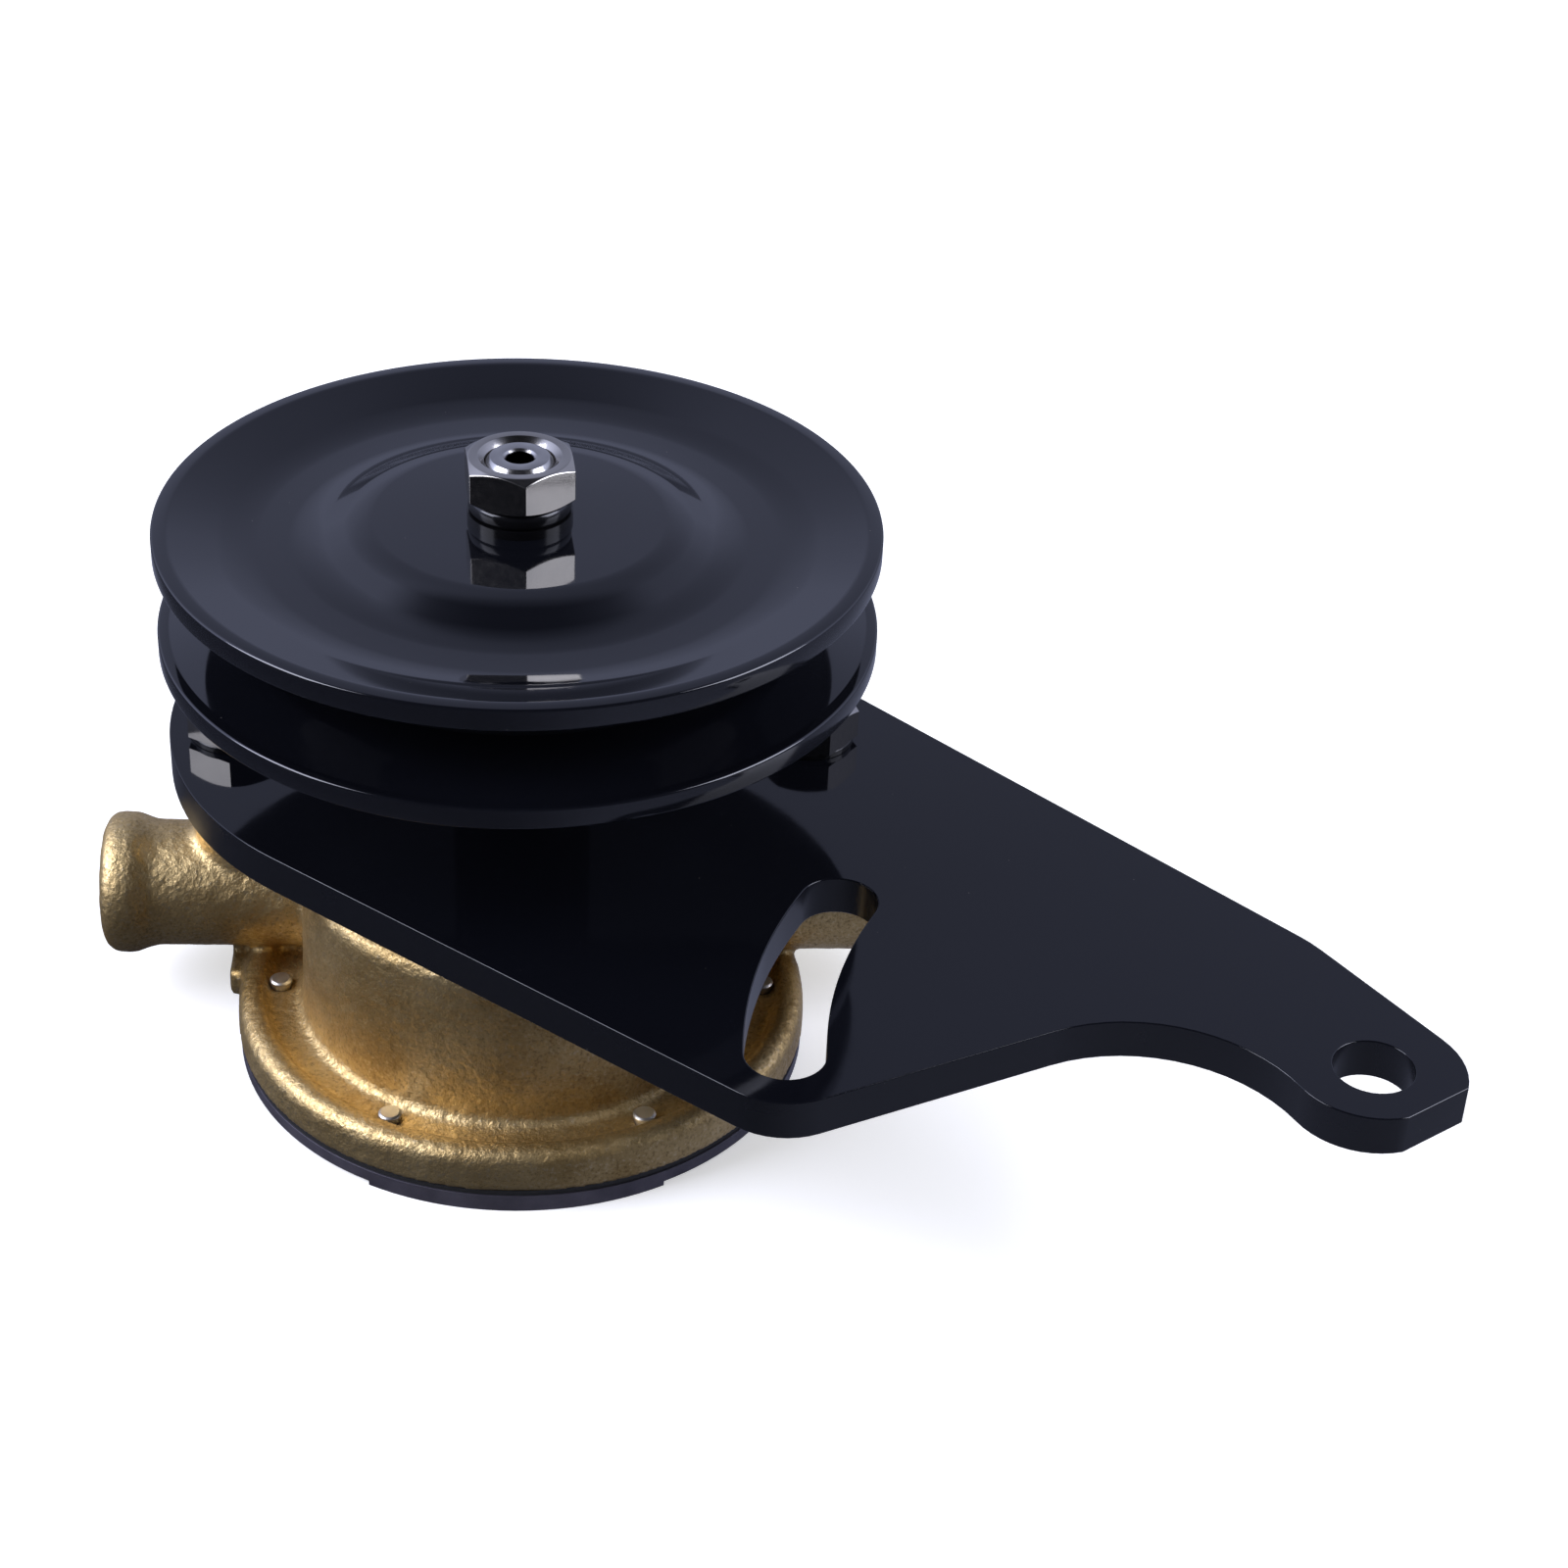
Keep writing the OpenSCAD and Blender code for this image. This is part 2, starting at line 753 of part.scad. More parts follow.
function bracket_left() = [left_end_x, left_end_y, left_end_r];
function bracket_slot_corner() =
    [pivot_x + slot_swing_r * cos(slot_lower_angle),
     pivot_y + slot_swing_r * sin(slot_lower_angle), slot_corner_r];
function bracket_eye() = [eye_x, eye_y, pivot_eye_r];
function bracket_eye_out() = [pivot_x + out_shift, pivot_y - out_drop, pivot_out_r];
function bracket_shoulder() = [shoulder_x, shoulder_y, shoulder_r];
function bracket_rear_right() = [right_corner_x, rear_corner_y, rear_corner_r];
function bracket_rear_left() =
    let (
        swing = left_end_r - rear_corner_r,
        rise = rear_corner_y - left_end_y
    )
    [left_end_x - sqrt(swing * swing - rise * rise), rear_corner_y, rear_corner_r];

// The bite's circle touches the slot corner's front line and the eye.
function bracket_bite() = [bite_x, bite_y, bite_r];

// Inner tangent from the slot corner to the bite, the line that ends in the concave arc.
function front_line() =
    let (
        a = bracket_slot_corner(),
        b = bracket_bite(),
        d = [b[0] - a[0], b[1] - a[1]],
        n = angle_of(d) - acos((a[2] + b[2]) / norm(d))
    )
    [[a[0], a[1]] + polar(a[2], n), [b[0], b[1]] - polar(b[2], n)];

// Points along circle c from the direction of one point to that of another. side is 1 for
// anticlockwise and -1 for clockwise, and skip leaves out points at the start.
arc_degrees = 8;
arc_step_l = 4;
function arc_between(c, from, to, side, skip) =
    let (
        centre = [c[0], c[1]],
        a0 = angle_of(from - centre),
        swing = side * ((side * (angle_of(to - centre) - a0) + 2 * turn) % turn),
        n = ceil(max(abs(swing) / arc_degrees, abs(swing) * PI / half_turn * c[2] / arc_step_l))
    )
    [for (i = [skip : n]) centre + polar(c[2], a0 + swing * i / n)];

// Point where the straight cut meets circle c, on the anticlockwise side or the other.
function cut_point(c, side) =
    let (
        n = polar(1, pivot_cut_angle),
        near = pivot_cut - (c[0] - pivot_x) * n[0] - (c[1] - pivot_y) * n[1]
    )
    [c[0], c[1]] + polar(c[2], pivot_cut_angle + side * acos(near / c[2]));

// Point where circle b touches circle a, in the direction from a's centre to b's.
function touch(a, b) =
    [a[0], a[1]] + polar(a[2], angle_of([b[0] - a[0], b[1] - a[1]]));

function bracket_points() =
    let (
        left = bracket_left(),
        slot_corner = bracket_slot_corner(),
        bite = bracket_bite(),
        eye = bracket_eye(),
        eye_out = bracket_eye_out(),
        shoulder = bracket_shoulder(),
        rear_right = bracket_rear_right(),
        rear_left = bracket_rear_left(),
        left_start = touch(left, rear_left),
        eye_start = touch(bite, eye),
        front_left = tangent(left, slot_corner),
        front = front_line(),
        eye_side = tangent(eye_out, shoulder),
        right_side = tangent(shoulder, rear_right),
        rear_side = tangent(rear_right, rear_left)
    )
    concat(
        arc_between(left, left_start, front_left[0], 1, 0),
        arc_between(slot_corner, front_left[1], front[0], 1, 0),
        arc_between(bite, front[1], eye_start, -1, 0),
        arc_between(eye, eye_start, cut_point(eye, -1), 1, 1),
        arc_between(eye_out, cut_point(eye_out, 1), eye_side[0], 1, 0),
        arc_between(shoulder, eye_side[1], right_side[0], 1, 0),
        arc_between(rear_right, right_side[1], rear_side[0], 1, 0),
        drop_last(arc_between(rear_left, rear_side[1], left_start, 1, 0))
    );

function drop_last(points) = [for (i = [0 : len(points) - 2]) points[i]];

function slot_points() =
    let (
        pivot = [pivot_x, pivot_y],
        upper = pivot + polar(slot_swing_r, slot_upper_angle),
        lower = pivot + polar(slot_swing_r, slot_lower_angle),
        outer_r = slot_swing_r + slot_half_w,
        inner_r = slot_swing_r - slot_half_w,
        upper_out = pivot + polar(outer_r, slot_upper_angle),
        lower_out = pivot + polar(outer_r, slot_lower_angle),
        upper_in = pivot + polar(inner_r, slot_upper_angle),
        lower_in = pivot + polar(inner_r, slot_lower_angle)
    )
    concat(
        arc_between([pivot_x, pivot_y, outer_r], upper_out, lower_out, 1, 1),
        arc_between([lower[0], lower[1], slot_half_w], lower_out, lower_in, 1, 1),
        arc_between([pivot_x, pivot_y, inner_r], lower_in, upper_in, -1, 1),
        arc_between([upper[0], upper[1], slot_half_w], upper_in, upper_out, 1, 1)
    );

bracket_hole_gap = 0.5;

module mounting_bracket() {
    color(black_paint)
    translate([0, 0, bracket_z])
    difference() {
        linear_extrude(height = bracket_t) polygon(bracket_points());
        translate([0, 0, -cut]) {
            linear_extrude(height = bracket_t + 2 * cut) polygon(slot_points());
            translate([pivot_x, pivot_y, 0]) cylinder(r = pivot_hole_r, h = bracket_t + 2 * cut);
            cylinder(r = spacer_r + plate_hole_gap, h = bracket_t + 2 * cut);
            at_bracket_bolts() cylinder(r = bolt_r + bracket_hole_gap, h = bracket_t + 2 * cut);
        }
    }
}

left_bolt_turn = 28;
right_bolt_turn = 52;

module bracket_bolts() {
    color(bright_steel)
    for (side = [-1, 1]) translate([side * bolt_x, port_y, 0]) union() {
        translate([0, 0, boss_hole_z + bolt_tip_gap])
            cylinder(r = bolt_r, h = bracket_top_z + bolt_washer_t - boss_hole_z - bolt_tip_gap + cut);
        translate([0, 0, bracket_top_z + bolt_washer_t])
            rotate([0, 0, side > 0 ? right_bolt_turn : left_bolt_turn])
            hex_prism(bolt_af, bolt_head_h, false);
    }
}

washer_split = 1.6;
split_lean = 25;
washer_lap = 0.5;

module split_washer(outer, inner, h) {
    // a spring washer with its slanting cut
    difference() {
        tube(outer, inner, h);
        translate([0, 0, h / 2]) rotate([split_lean, 0, 0]) translate([0, -washer_split / 2, -h])
            cube([outer + cut, washer_split, 2 * h]);
    }
}

module bracket_washers() {
    color(black_finish)
    at_bracket_bolts() translate([0, 0, bracket_top_z])
        split_washer(bolt_af / 2 + washer_lap, bolt_r + bolt_hole_gap, bolt_washer_t);
}

// Shaft and what turns with it

shaft_z = impeller_z + insert_recess;
shaft_chamfer = 1.2;
end_hole_r = 3.1;
end_hole_d = 14;
drill_point_h = 1.8;
key_h = key_w;
impeller_key_inset = 2.4;
impeller_key_l = impeller_h - 2 * impeller_key_inset;
impeller_key_z = impeller_z + impeller_key_inset;
pulley_key_l = 25;
pulley_key_z = hub_z + hub_h / 2;
key_gap = 0.04;
key_sink = key_h / 2;
shaft_clip_t = 1.1;
shaft_clip_w = 2.6;
shaft_clip_bite = 0.8;
shaft_clip_z = bearing_z - shaft_clip_t - circlip_gap;

module key_block(z, l, gap) {
    translate([shaft_r - key_sink - gap, -key_w / 2 - gap, z - gap])
        cube([key_h + 2 * gap, key_w + 2 * gap, l + 2 * gap]);
}

module shaft() {
    top_z = nut_top_z - shaft_below_nut_top;
    color(stainless)
    difference() {
        rotate_extrude() polygon([
            [0, shaft_z],
            [shaft_r - shaft_chamfer, shaft_z],
            [shaft_r, shaft_z + shaft_chamfer],
            [shaft_r, shaft_clip_z - circlip_gap],
            [shaft_r - shaft_clip_bite, shaft_clip_z - circlip_gap],
            [shaft_r - shaft_clip_bite, bearing_z],
            [shaft_r, bearing_z],
            [shaft_r, top_z - shaft_chamfer],
            [shaft_r - shaft_chamfer, top_z],
            [0, top_z]
        ]);
        translate([0, 0, top_z - end_hole_d]) cylinder(r = end_hole_r, h = end_hole_d + cut);
        translate([0, 0, top_z - end_hole_d - drill_point_h])
            cylinder(r1 = 0, r2 = end_hole_r, h = drill_point_h);
        key_block(impeller_key_z, impeller_key_l, key_gap);
        key_block(pulley_key_z, pulley_key_l, key_gap);
    }
}

module impeller_key() { color(stainless) key_block(impeller_key_z, impeller_key_l, 0); }
module pulley_key() { color(stainless) key_block(pulley_key_z, pulley_key_l, 0); }

module shaft_circlip() {
    color(dark_steel)
    translate([0, 0, shaft_clip_z]) difference() {
        tube(shaft_r + shaft_clip_w, shaft_r - shaft_clip_bite + circlip_gap, shaft_clip_t);
        translate([-shaft_r, 0, -cut])
            cube([2 * shaft_r, shaft_r + shaft_clip_w + cut, shaft_clip_t + 2 * cut]);
    }
}

module slinger_ring() {
    color(rubber)
    translate([0, 0, slinger_z]) tube(slinger_r, shaft_r + seat_gap, slinger_t);
}

module spacer_sleeve() {
    color(stainless)
    translate([0, 0, bearing_top_z]) tube(spacer_r, shaft_r + seat_gap, spacer_h);
}

// Flexible impeller: straight vanes, bent over where they pass the cam

// Point beside the path's point i, at the distance shift to its left.
function beside(path, i, shift) =
    let (d = unit(path[min(i + 1, vane_steps)] - path[max(i - 1, 0)]))
    path[i] + [-d[1], d[0]] * shift;

module vane(a) {
    // the centre line leans by a share that grows towards the tip
    lean = vane_lean + bent_lean * cam_share(a);
    reach = chamber_at(a + lean) - vane_tip_gap - vane_tip_r;
    root = impeller_core_r - vane_t;
    path = [for (i = [0 : vane_steps])
        let (s = i / vane_steps)
        polar(root + (reach - root) * s, a + lean * s * s)];
    linear_extrude(height = impeller_h) polygon(concat(
        [for (i = [0 : vane_steps]) beside(path, i, vane_t / 2)],
        [for (i = [vane_steps : -1 : 0]) beside(path, i, -vane_t / 2)]
    ));
    translate(path[vane_steps]) cylinder(r = vane_tip_r, h = impeller_h);
}

module impeller() {
    color(rubber)
    translate([0, 0, impeller_z])
    difference() {
        union() {
            cylinder(r = impeller_core_r, h = impeller_h);
            for (i = [0 : vane_count - 1]) vane(i * turn / vane_count + turn / (2 * vane_count));
        }
        translate([0, 0, -cut]) cylinder(r = insert_r + seat_gap, h = impeller_h + 2 * cut);
    }
}

module impeller_insert() {
    color(brass)
    difference() {
        translate([0, 0, impeller_z + insert_recess])
            tube(insert_r, shaft_r + seat_gap, impeller_h - 2 * insert_recess);
        key_block(impeller_key_z, impeller_key_l, key_gap);
    }
}

// Pulley: two pressed discs, a groove ring between them and a hub

module front_disc_profile() {
    lean = tan(groove_slope / 2) * front_disc_t;
    hat_slope = atan((dish_d + plateau_rise) / (plateau_foot_r - plateau_r));
    hat_lean = tan(hat_slope / 2) * front_disc_t;
    polygon(rounded([
        [shaft_r + seat_gap, plateau_under_z, 0],
        [plateau_r - hat_lean, plateau_under_z, plateau_round - front_disc_t],
        [plateau_foot_r - hat_lean, front_valley_z, plateau_foot_round + front_disc_t],
        [valley_out_r + lean, front_valley_z, valley_round],
        [lip_in_r + lean, front_rim_z, lip_round / 2],
        [pulley_r, front_rim_z, rim_edge_round],
        [pulley_r, lip_z, rim_edge_round],
        [lip_in_r, lip_z, lip_round],
        [valley_out_r, lip_z - dish_d, valley_round],
        [plateau_foot_r, lip_z - dish_d, plateau_foot_round],
        [plateau_r, plateau_z, plateau_round],
        [shaft_r + seat_gap, plateau_z, 0]
    ]));
}

module pulley_front_half() {
    color(black_paint) rotate_extrude() front_disc_profile();
}

module rear_disc_profile() {
    lean = tan(groove_slope / 2) * rear_disc_t;
    polygon(rounded([
        [hub_r + seat_gap, rear_web_top_z - rear_disc_t, 0],
        [valley_out_r, rear_web_top_z - rear_disc_t, valley_round],
        [lip_in_r, rear_rim_z, lip_round],
        [pulley_r, rear_rim_z, rim_edge_round],
        [pulley_r, rear_rim_top_z, rim_edge_round],
        [lip_in_r + lean, rear_rim_top_z, lip_round / 2],
        [valley_out_r + lean, rear_web_top_z, valley_round],
        [hub_r + seat_gap, rear_web_top_z, 0]
    ]));
}

module pulley_rear_half() {
    color(black_paint) rotate_extrude() rear_disc_profile();
}

module pulley_groove_ring() {
    color(black_paint)
    translate([0, 0, rear_web_top_z])
        tube(groove_floor_r, groove_floor_r - groove_ring_t, front_valley_z - rear_web_top_z);
}

hub_chamfer = 1;

module pulley_hub() {
    color(black_paint)
    difference() {
        rotate_extrude() polygon([
            [shaft_r + seat_gap, hub_z],
            [hub_r - hub_chamfer, hub_z],
            [hub_r, hub_z + hub_chamfer],
            [hub_r, plateau_under_z],
            [shaft_r + seat_gap, plateau_under_z]
        ]);
        key_block(pulley_key_z, pulley_key_l, key_gap);
    }
}

module flat_washer() {
    color(black_finish)
    translate([0, 0, flat_washer_z]) tube(nut_washer_r, shaft_r + seat_gap, flat_washer_t);
}

lock_washer_inset = 0.3;

module lock_washer() {
    color(black_finish)
    translate([0, 0, lock_washer_z]) rotate([0, 0, right])
        split_washer(nut_washer_r - lock_washer_inset, shaft_r + seat_gap, lock_washer_t);
}

nut_turn = 6.6;

module pulley_nut() {
    color(bright_steel)
    translate([0, 0, nut_z]) rotate([0, 0, front_angle + nut_turn]) difference() {
        hex_prism(nut_af, nut_h, true);
        translate([0, 0, -cut]) cylinder(r = shaft_r + seat_gap, h = nut_h + 2 * cut);
    }
}

body_casting();
cover_gasket();
end_cover();
cover_screws();
cam();
cam_screw();
wear_plate();
inner_lip_seal();
outer_lip_seal();
lower_bearing_outer_ring();
upper_bearing_outer_ring();
bearing_circlip();
mounting_bracket();
bracket_bolts();
bracket_washers();
lower_bearing_balls();
upper_bearing_balls();
lower_bearing_cage();
upper_bearing_cage();
shaft();
shaft_circlip();
slinger_ring();
impeller();
impeller_insert();
impeller_key();
lower_bearing_inner_ring();
upper_bearing_inner_ring();
spacer_sleeve();
pulley_hub();
pulley_key();
pulley_rear_half();
pulley_groove_ring();
pulley_front_half();
flat_washer();
lock_washer();
pulley_nut();
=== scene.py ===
# Belt-driven engine water pump: black enamelled pulley and bracket on a sand-cast bronze body.
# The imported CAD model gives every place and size, and this script gives the looks.
import json
import math

import bmesh
import bpy
from mathutils import Matrix, Vector, noise


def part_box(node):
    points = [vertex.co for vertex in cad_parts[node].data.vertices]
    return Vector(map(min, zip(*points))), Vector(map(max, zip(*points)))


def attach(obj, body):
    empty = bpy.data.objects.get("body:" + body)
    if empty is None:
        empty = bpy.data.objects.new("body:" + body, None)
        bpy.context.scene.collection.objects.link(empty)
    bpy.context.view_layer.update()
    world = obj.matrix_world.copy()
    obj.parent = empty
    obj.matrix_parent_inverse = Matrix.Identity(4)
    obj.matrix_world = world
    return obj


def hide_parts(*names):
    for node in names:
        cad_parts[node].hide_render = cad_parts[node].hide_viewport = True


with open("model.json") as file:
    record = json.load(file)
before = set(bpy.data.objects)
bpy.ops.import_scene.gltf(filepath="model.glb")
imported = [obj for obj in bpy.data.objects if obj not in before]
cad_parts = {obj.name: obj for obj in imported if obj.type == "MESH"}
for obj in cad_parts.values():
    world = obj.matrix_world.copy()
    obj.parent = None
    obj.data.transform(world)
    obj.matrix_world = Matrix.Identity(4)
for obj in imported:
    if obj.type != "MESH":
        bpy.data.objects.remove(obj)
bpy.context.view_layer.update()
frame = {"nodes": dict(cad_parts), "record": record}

cadNodes = frame["nodes"]
mm = 0.001
scene = bpy.context.scene
scene.view_settings.view_transform = "Standard"
print("frame loaded,", len(cadNodes), "CAD nodes")

photoCamera = {
    "place": (17.15, -627.45, 488.35),  # millimetres from the pump's shaft, on the bench
    "yaw": 4.17,                        # degrees to the right of straight ahead
    "pitch": 33.36,                     # degrees down
    "roll": -2.84,
    "lens": 71.91,
    "sensor": 36.0,
    "clip": (0.01, 20.0),               # metres
}


def makeCamera():
    data = bpy.data.cameras.new("photoCamera")
    data.lens = photoCamera["lens"]
    data.sensor_width = photoCamera["sensor"]
    data.clip_start, data.clip_end = photoCamera["clip"]
    camera = bpy.data.objects.new("photoCamera", data)
    scene.collection.objects.link(camera)
    yaw, pitch, roll = (math.radians(photoCamera[key]) for key in ("yaw", "pitch", "roll"))
    forward = Vector((math.sin(yaw) * math.cos(pitch), math.cos(yaw) * math.cos(pitch), -math.sin(pitch)))
    level = Vector((math.cos(yaw), -math.sin(yaw), 0))
    down = forward.cross(level)
    right = level * math.cos(roll) + down * math.sin(roll)
    up = level * math.sin(roll) - down * math.cos(roll)
    turned = Matrix((right, up, -forward)).transposed().to_4x4()
    camera.matrix_world = Matrix.Translation(Vector(photoCamera["place"]) * mm) @ turned
    scene.camera = camera


makeCamera()
print("camera set")


# Materials

def linearColour(hexText):
    channels = [int(hexText[i:i + 2], 16) / 255 for i in (1, 3, 5)]
    return [c / 12.92 if c <= 0.04045 else ((c + 0.055) / 1.055) ** 2.4 for c in channels] + [1.0]


def addNode(tree, kind, inputs=None, **settings):
    node = tree.nodes.new(kind)
    for key, value in settings.items():
        setattr(node, key, value)
    for key, value in (inputs or {}).items():
        if isinstance(value, bpy.types.NodeSocket):
            tree.links.new(value, node.inputs[key])
        else:
            node.inputs[key].default_value = value
    return node


def startMaterial(name):
    material = bpy.data.materials.new(name)
    material.use_nodes = True
    tree = material.node_tree
    tree.nodes.clear()
    place = addNode(tree, "ShaderNodeTexCoord").outputs["Object"]
    return material, tree, place


def endMaterial(tree, shader):
    addNode(tree, "ShaderNodeOutputMaterial", {"Surface": shader.outputs[0]})


def perMetre(millimetres):
    return 1000 / millimetres  # texture scale that gives features of this size


def blackEnamel(name, wallRoughness, ior):
    # stove enamel over pressed steel: near black with a cool tint, wet gloss, slight orange peel
    # a few millimetres across and some dust specks; upright walls took the paint less smoothly
    material, tree, place = startMaterial(name)
    peel = addNode(tree, "ShaderNodeTexNoise", {"Vector": place, "Scale": perMetre(2.2), "Detail": 2.0})
    flow = addNode(tree, "ShaderNodeTexNoise", {"Vector": place, "Scale": perMetre(14), "Detail": 1.0})
    height = addNode(tree, "ShaderNodeMath", {0: flow.outputs["Fac"], 1: 2.5, 2: peel.outputs["Fac"]},
                     operation="MULTIPLY_ADD")
    bump = addNode(tree, "ShaderNodeBump", {"Height": height.outputs[0], "Strength": 0.12,
                                           "Distance": 0.02 * mm})
    speck = addNode(tree, "ShaderNodeTexVoronoi", {"Vector": place, "Scale": perMetre(5.5)})
    dust = addNode(tree, "ShaderNodeMapRange", {"Value": speck.outputs["Distance"], "From Min": 0.03,
                                               "From Max": 0.018, "To Min": 0.0, "To Max": 1.0})
    rare = addNode(tree, "ShaderNodeTexNoise", {"Vector": place, "Scale": perMetre(9), "Detail": 0.0})
    some = addNode(tree, "ShaderNodeMapRange", {"Value": rare.outputs["Fac"], "From Min": 0.56,
                                               "From Max": 0.62, "To Min": 0.0, "To Max": 0.5})
    share = addNode(tree, "ShaderNodeMath", {0: dust.outputs[0], 1: some.outputs[0]}, operation="MULTIPLY")
    colour = addNode(tree, "ShaderNodeMix", {0: share.outputs[0], 6: linearColour("#0a0b10"),
                                            7: linearColour("#6d6a66")}, data_type="RGBA")
    gloss = addNode(tree, "ShaderNodeMapRange", {"Value": flow.outputs["Fac"], "From Min": 0.3,
                                                "From Max": 0.7, "To Min": 0.05, "To Max": 0.085})
    facing = addNode(tree, "ShaderNodeNewGeometry").outputs["Normal"]
    upward = addNode(tree, "ShaderNodeSeparateXYZ", {0: facing}).outputs["Z"]
    level = addNode(tree, "ShaderNodeMath", {0: upward}, operation="ABSOLUTE")
    wall = addNode(tree, "ShaderNodeMapRange", {"Value": level.outputs[0], "From Min": 0.15,
                                               "From Max": 0.5, "To Min": wallRoughness, "To Max": 0.0})
    rough = addNode(tree, "ShaderNodeMath", {0: gloss.outputs[0], 1: wall.outputs[0]}, operation="ADD")
    shader = addNode(tree, "ShaderNodeBsdfPrincipled", {
        "Base Color": colour.outputs[2], "Roughness": rough.outputs[0], "IOR": ior,
        "Normal": bump.outputs[0]})
    endMaterial(tree, shader)
    return material


def castBronze():
    # sand-cast bronze, blasted and left bare: lumps of two or three millimetres from the sand,
    # golden grain of about one, brown oxide in its hollows and pale specks painted on the raised grain as
    # glints, a painted highlight
    material, tree, place = startMaterial("castBronze")
    grain = addNode(tree, "ShaderNodeTexNoise", {"Vector": place, "Scale": perMetre(0.9), "Detail": 5.0,
                                                "Roughness": 0.62})
    lumps = addNode(tree, "ShaderNodeTexNoise", {"Vector": place, "Scale": perMetre(2.6), "Detail": 3.0})
    stains = addNode(tree, "ShaderNodeTexNoise", {"Vector": place, "Scale": perMetre(26), "Detail": 4.0,
                                                 "Roughness": 0.6})
    tone = addNode(tree, "ShaderNodeMapRange", {"Value": stains.outputs["Fac"], "From Min": 0.35,
                                               "From Max": 0.68})
    base = addNode(tree, "ShaderNodeMix", {0: tone.outputs[0], 6: linearColour("#dfc48c"),
                                          7: linearColour("#b39660")}, data_type="RGBA")
    pits = addNode(tree, "ShaderNodeMapRange", {"Value": grain.outputs["Fac"], "From Min": 0.47,
                                               "From Max": 0.36, "To Min": 0.0, "To Max": 0.38})
    darkened = addNode(tree, "ShaderNodeMix", {0: pits.outputs[0], 6: base.outputs[2],
                                              7: linearColour("#5c482b")}, data_type="RGBA")
    # pale specks on the raised grain, painted in as glints: a painted highlight
    paintedGlints = addNode(tree, "ShaderNodeMapRange", {"Value": grain.outputs["Fac"], "From Min": 0.56,
                                                 "From Max": 0.70, "To Min": 0.0, "To Max": 0.5})
    colour = addNode(tree, "ShaderNodeMix", {0: paintedGlints.outputs[0], 6: darkened.outputs[2],
                                            7: linearColour("#ead9b4")}, data_type="RGBA")
    height = addNode(tree, "ShaderNodeMath", {0: lumps.outputs["Fac"], 1: 2.2, 2: grain.outputs["Fac"]},
                     operation="MULTIPLY_ADD")
    bump = addNode(tree, "ShaderNodeBump", {"Height": height.outputs[0], "Strength": 0.66,
                                           "Distance": 0.30 * mm})
    rough = addNode(tree, "ShaderNodeMapRange", {"Value": grain.outputs["Fac"], "From Min": 0.35,
                                                "From Max": 0.65, "To Min": 0.56, "To Max": 0.38})
    shader = addNode(tree, "ShaderNodeBsdfPrincipled", {
        "Base Color": colour.outputs[2], "Metallic": 1.0, "Roughness": rough.outputs[0],
        "Normal": bump.outputs[0]})
    endMaterial(tree, shader)
    return material


def metalFinish(name, clean, dull, grainSize, roughness, bumpDepth, metallic=1.0, paintedShadeHole=0.0):
    # a metal whose tool or plating marks are finer than they can show, drawn at grainSize instead;
    # paintedShadeHole is the radius in millimetres round Z inside which it is painted black, a painted
    # shade for a deep hole
    material, tree, place = startMaterial(name)
    grain = addNode(tree, "ShaderNodeTexNoise", {"Vector": place, "Scale": perMetre(grainSize),
                                                "Detail": 4.0, "Roughness": 0.6})
    cloud = addNode(tree, "ShaderNodeTexNoise", {"Vector": place, "Scale": perMetre(grainSize * 9),
                                                "Detail": 2.0})
    share = addNode(tree, "ShaderNodeMapRange", {"Value": cloud.outputs["Fac"], "From Min": 0.35,
                                                "From Max": 0.7})
    colour = addNode(tree, "ShaderNodeMix", {0: share.outputs[0], 6: linearColour(clean),
                                            7: linearColour(dull)}, data_type="RGBA")
    # painted shade: black inside the given radius round Z, standing in for the deep end hole's shade
    if paintedShadeHole:
        flat = addNode(tree, "ShaderNodeVectorMath", {0: place, 1: (1, 1, 0)}, operation="MULTIPLY")
        across = addNode(tree, "ShaderNodeVectorMath", {0: flat.outputs[0]}, operation="LENGTH")
        inside = addNode(tree, "ShaderNodeMapRange", {"Value": across.outputs["Value"],
                                                     "From Min": (paintedShadeHole + 0.2) * mm,
                                                     "From Max": paintedShadeHole * mm})
        colour = addNode(tree, "ShaderNodeMix", {0: inside.outputs[0], 6: colour.outputs[2],
                                                7: linearColour("#0c0b0b")}, data_type="RGBA")
    rough = addNode(tree, "ShaderNodeMapRange", {"Value": grain.outputs["Fac"], "From Min": 0.3,
                                                "From Max": 0.7, "To Min": roughness[0],
                                                "To Max": roughness[1]})
    bump = addNode(tree, "ShaderNodeBump", {"Height": grain.outputs["Fac"], "Strength": 0.3,
                                           "Distance": bumpDepth * mm})
    shader = addNode(tree, "ShaderNodeBsdfPrincipled", {
        "Base Color": colour.outputs[2], "Metallic": metallic, "Roughness": rough.outputs[0],
        "Normal": bump.outputs[0]})
    endMaterial(tree, shader)
    return material


def nitrileRubber():
    # moulded nitrile rubber: matt black with a fine satin skin
    material, tree, place = startMaterial("nitrileRubber")
    skin = addNode(tree, "ShaderNodeTexNoise", {"Vector": place, "Scale": perMetre(0.6), "Detail": 3.0})
    bump = addNode(tree, "ShaderNodeBump", {"Height": skin.outputs["Fac"], "Strength": 0.35,
                                           "Distance": 0.04 * mm})
    colour = addNode(tree, "ShaderNodeMix", {0: skin.outputs["Fac"], 6: linearColour("#161617"),
                                            7: linearColour("#232325")}, data_type="RGBA")
    shader = addNode(tree, "ShaderNodeBsdfPrincipled", {
        "Base Color": colour.outputs[2], "Roughness": 0.62, "IOR": 1.52, "Normal": bump.outputs[0]})
    endMaterial(tree, shader)
    return material


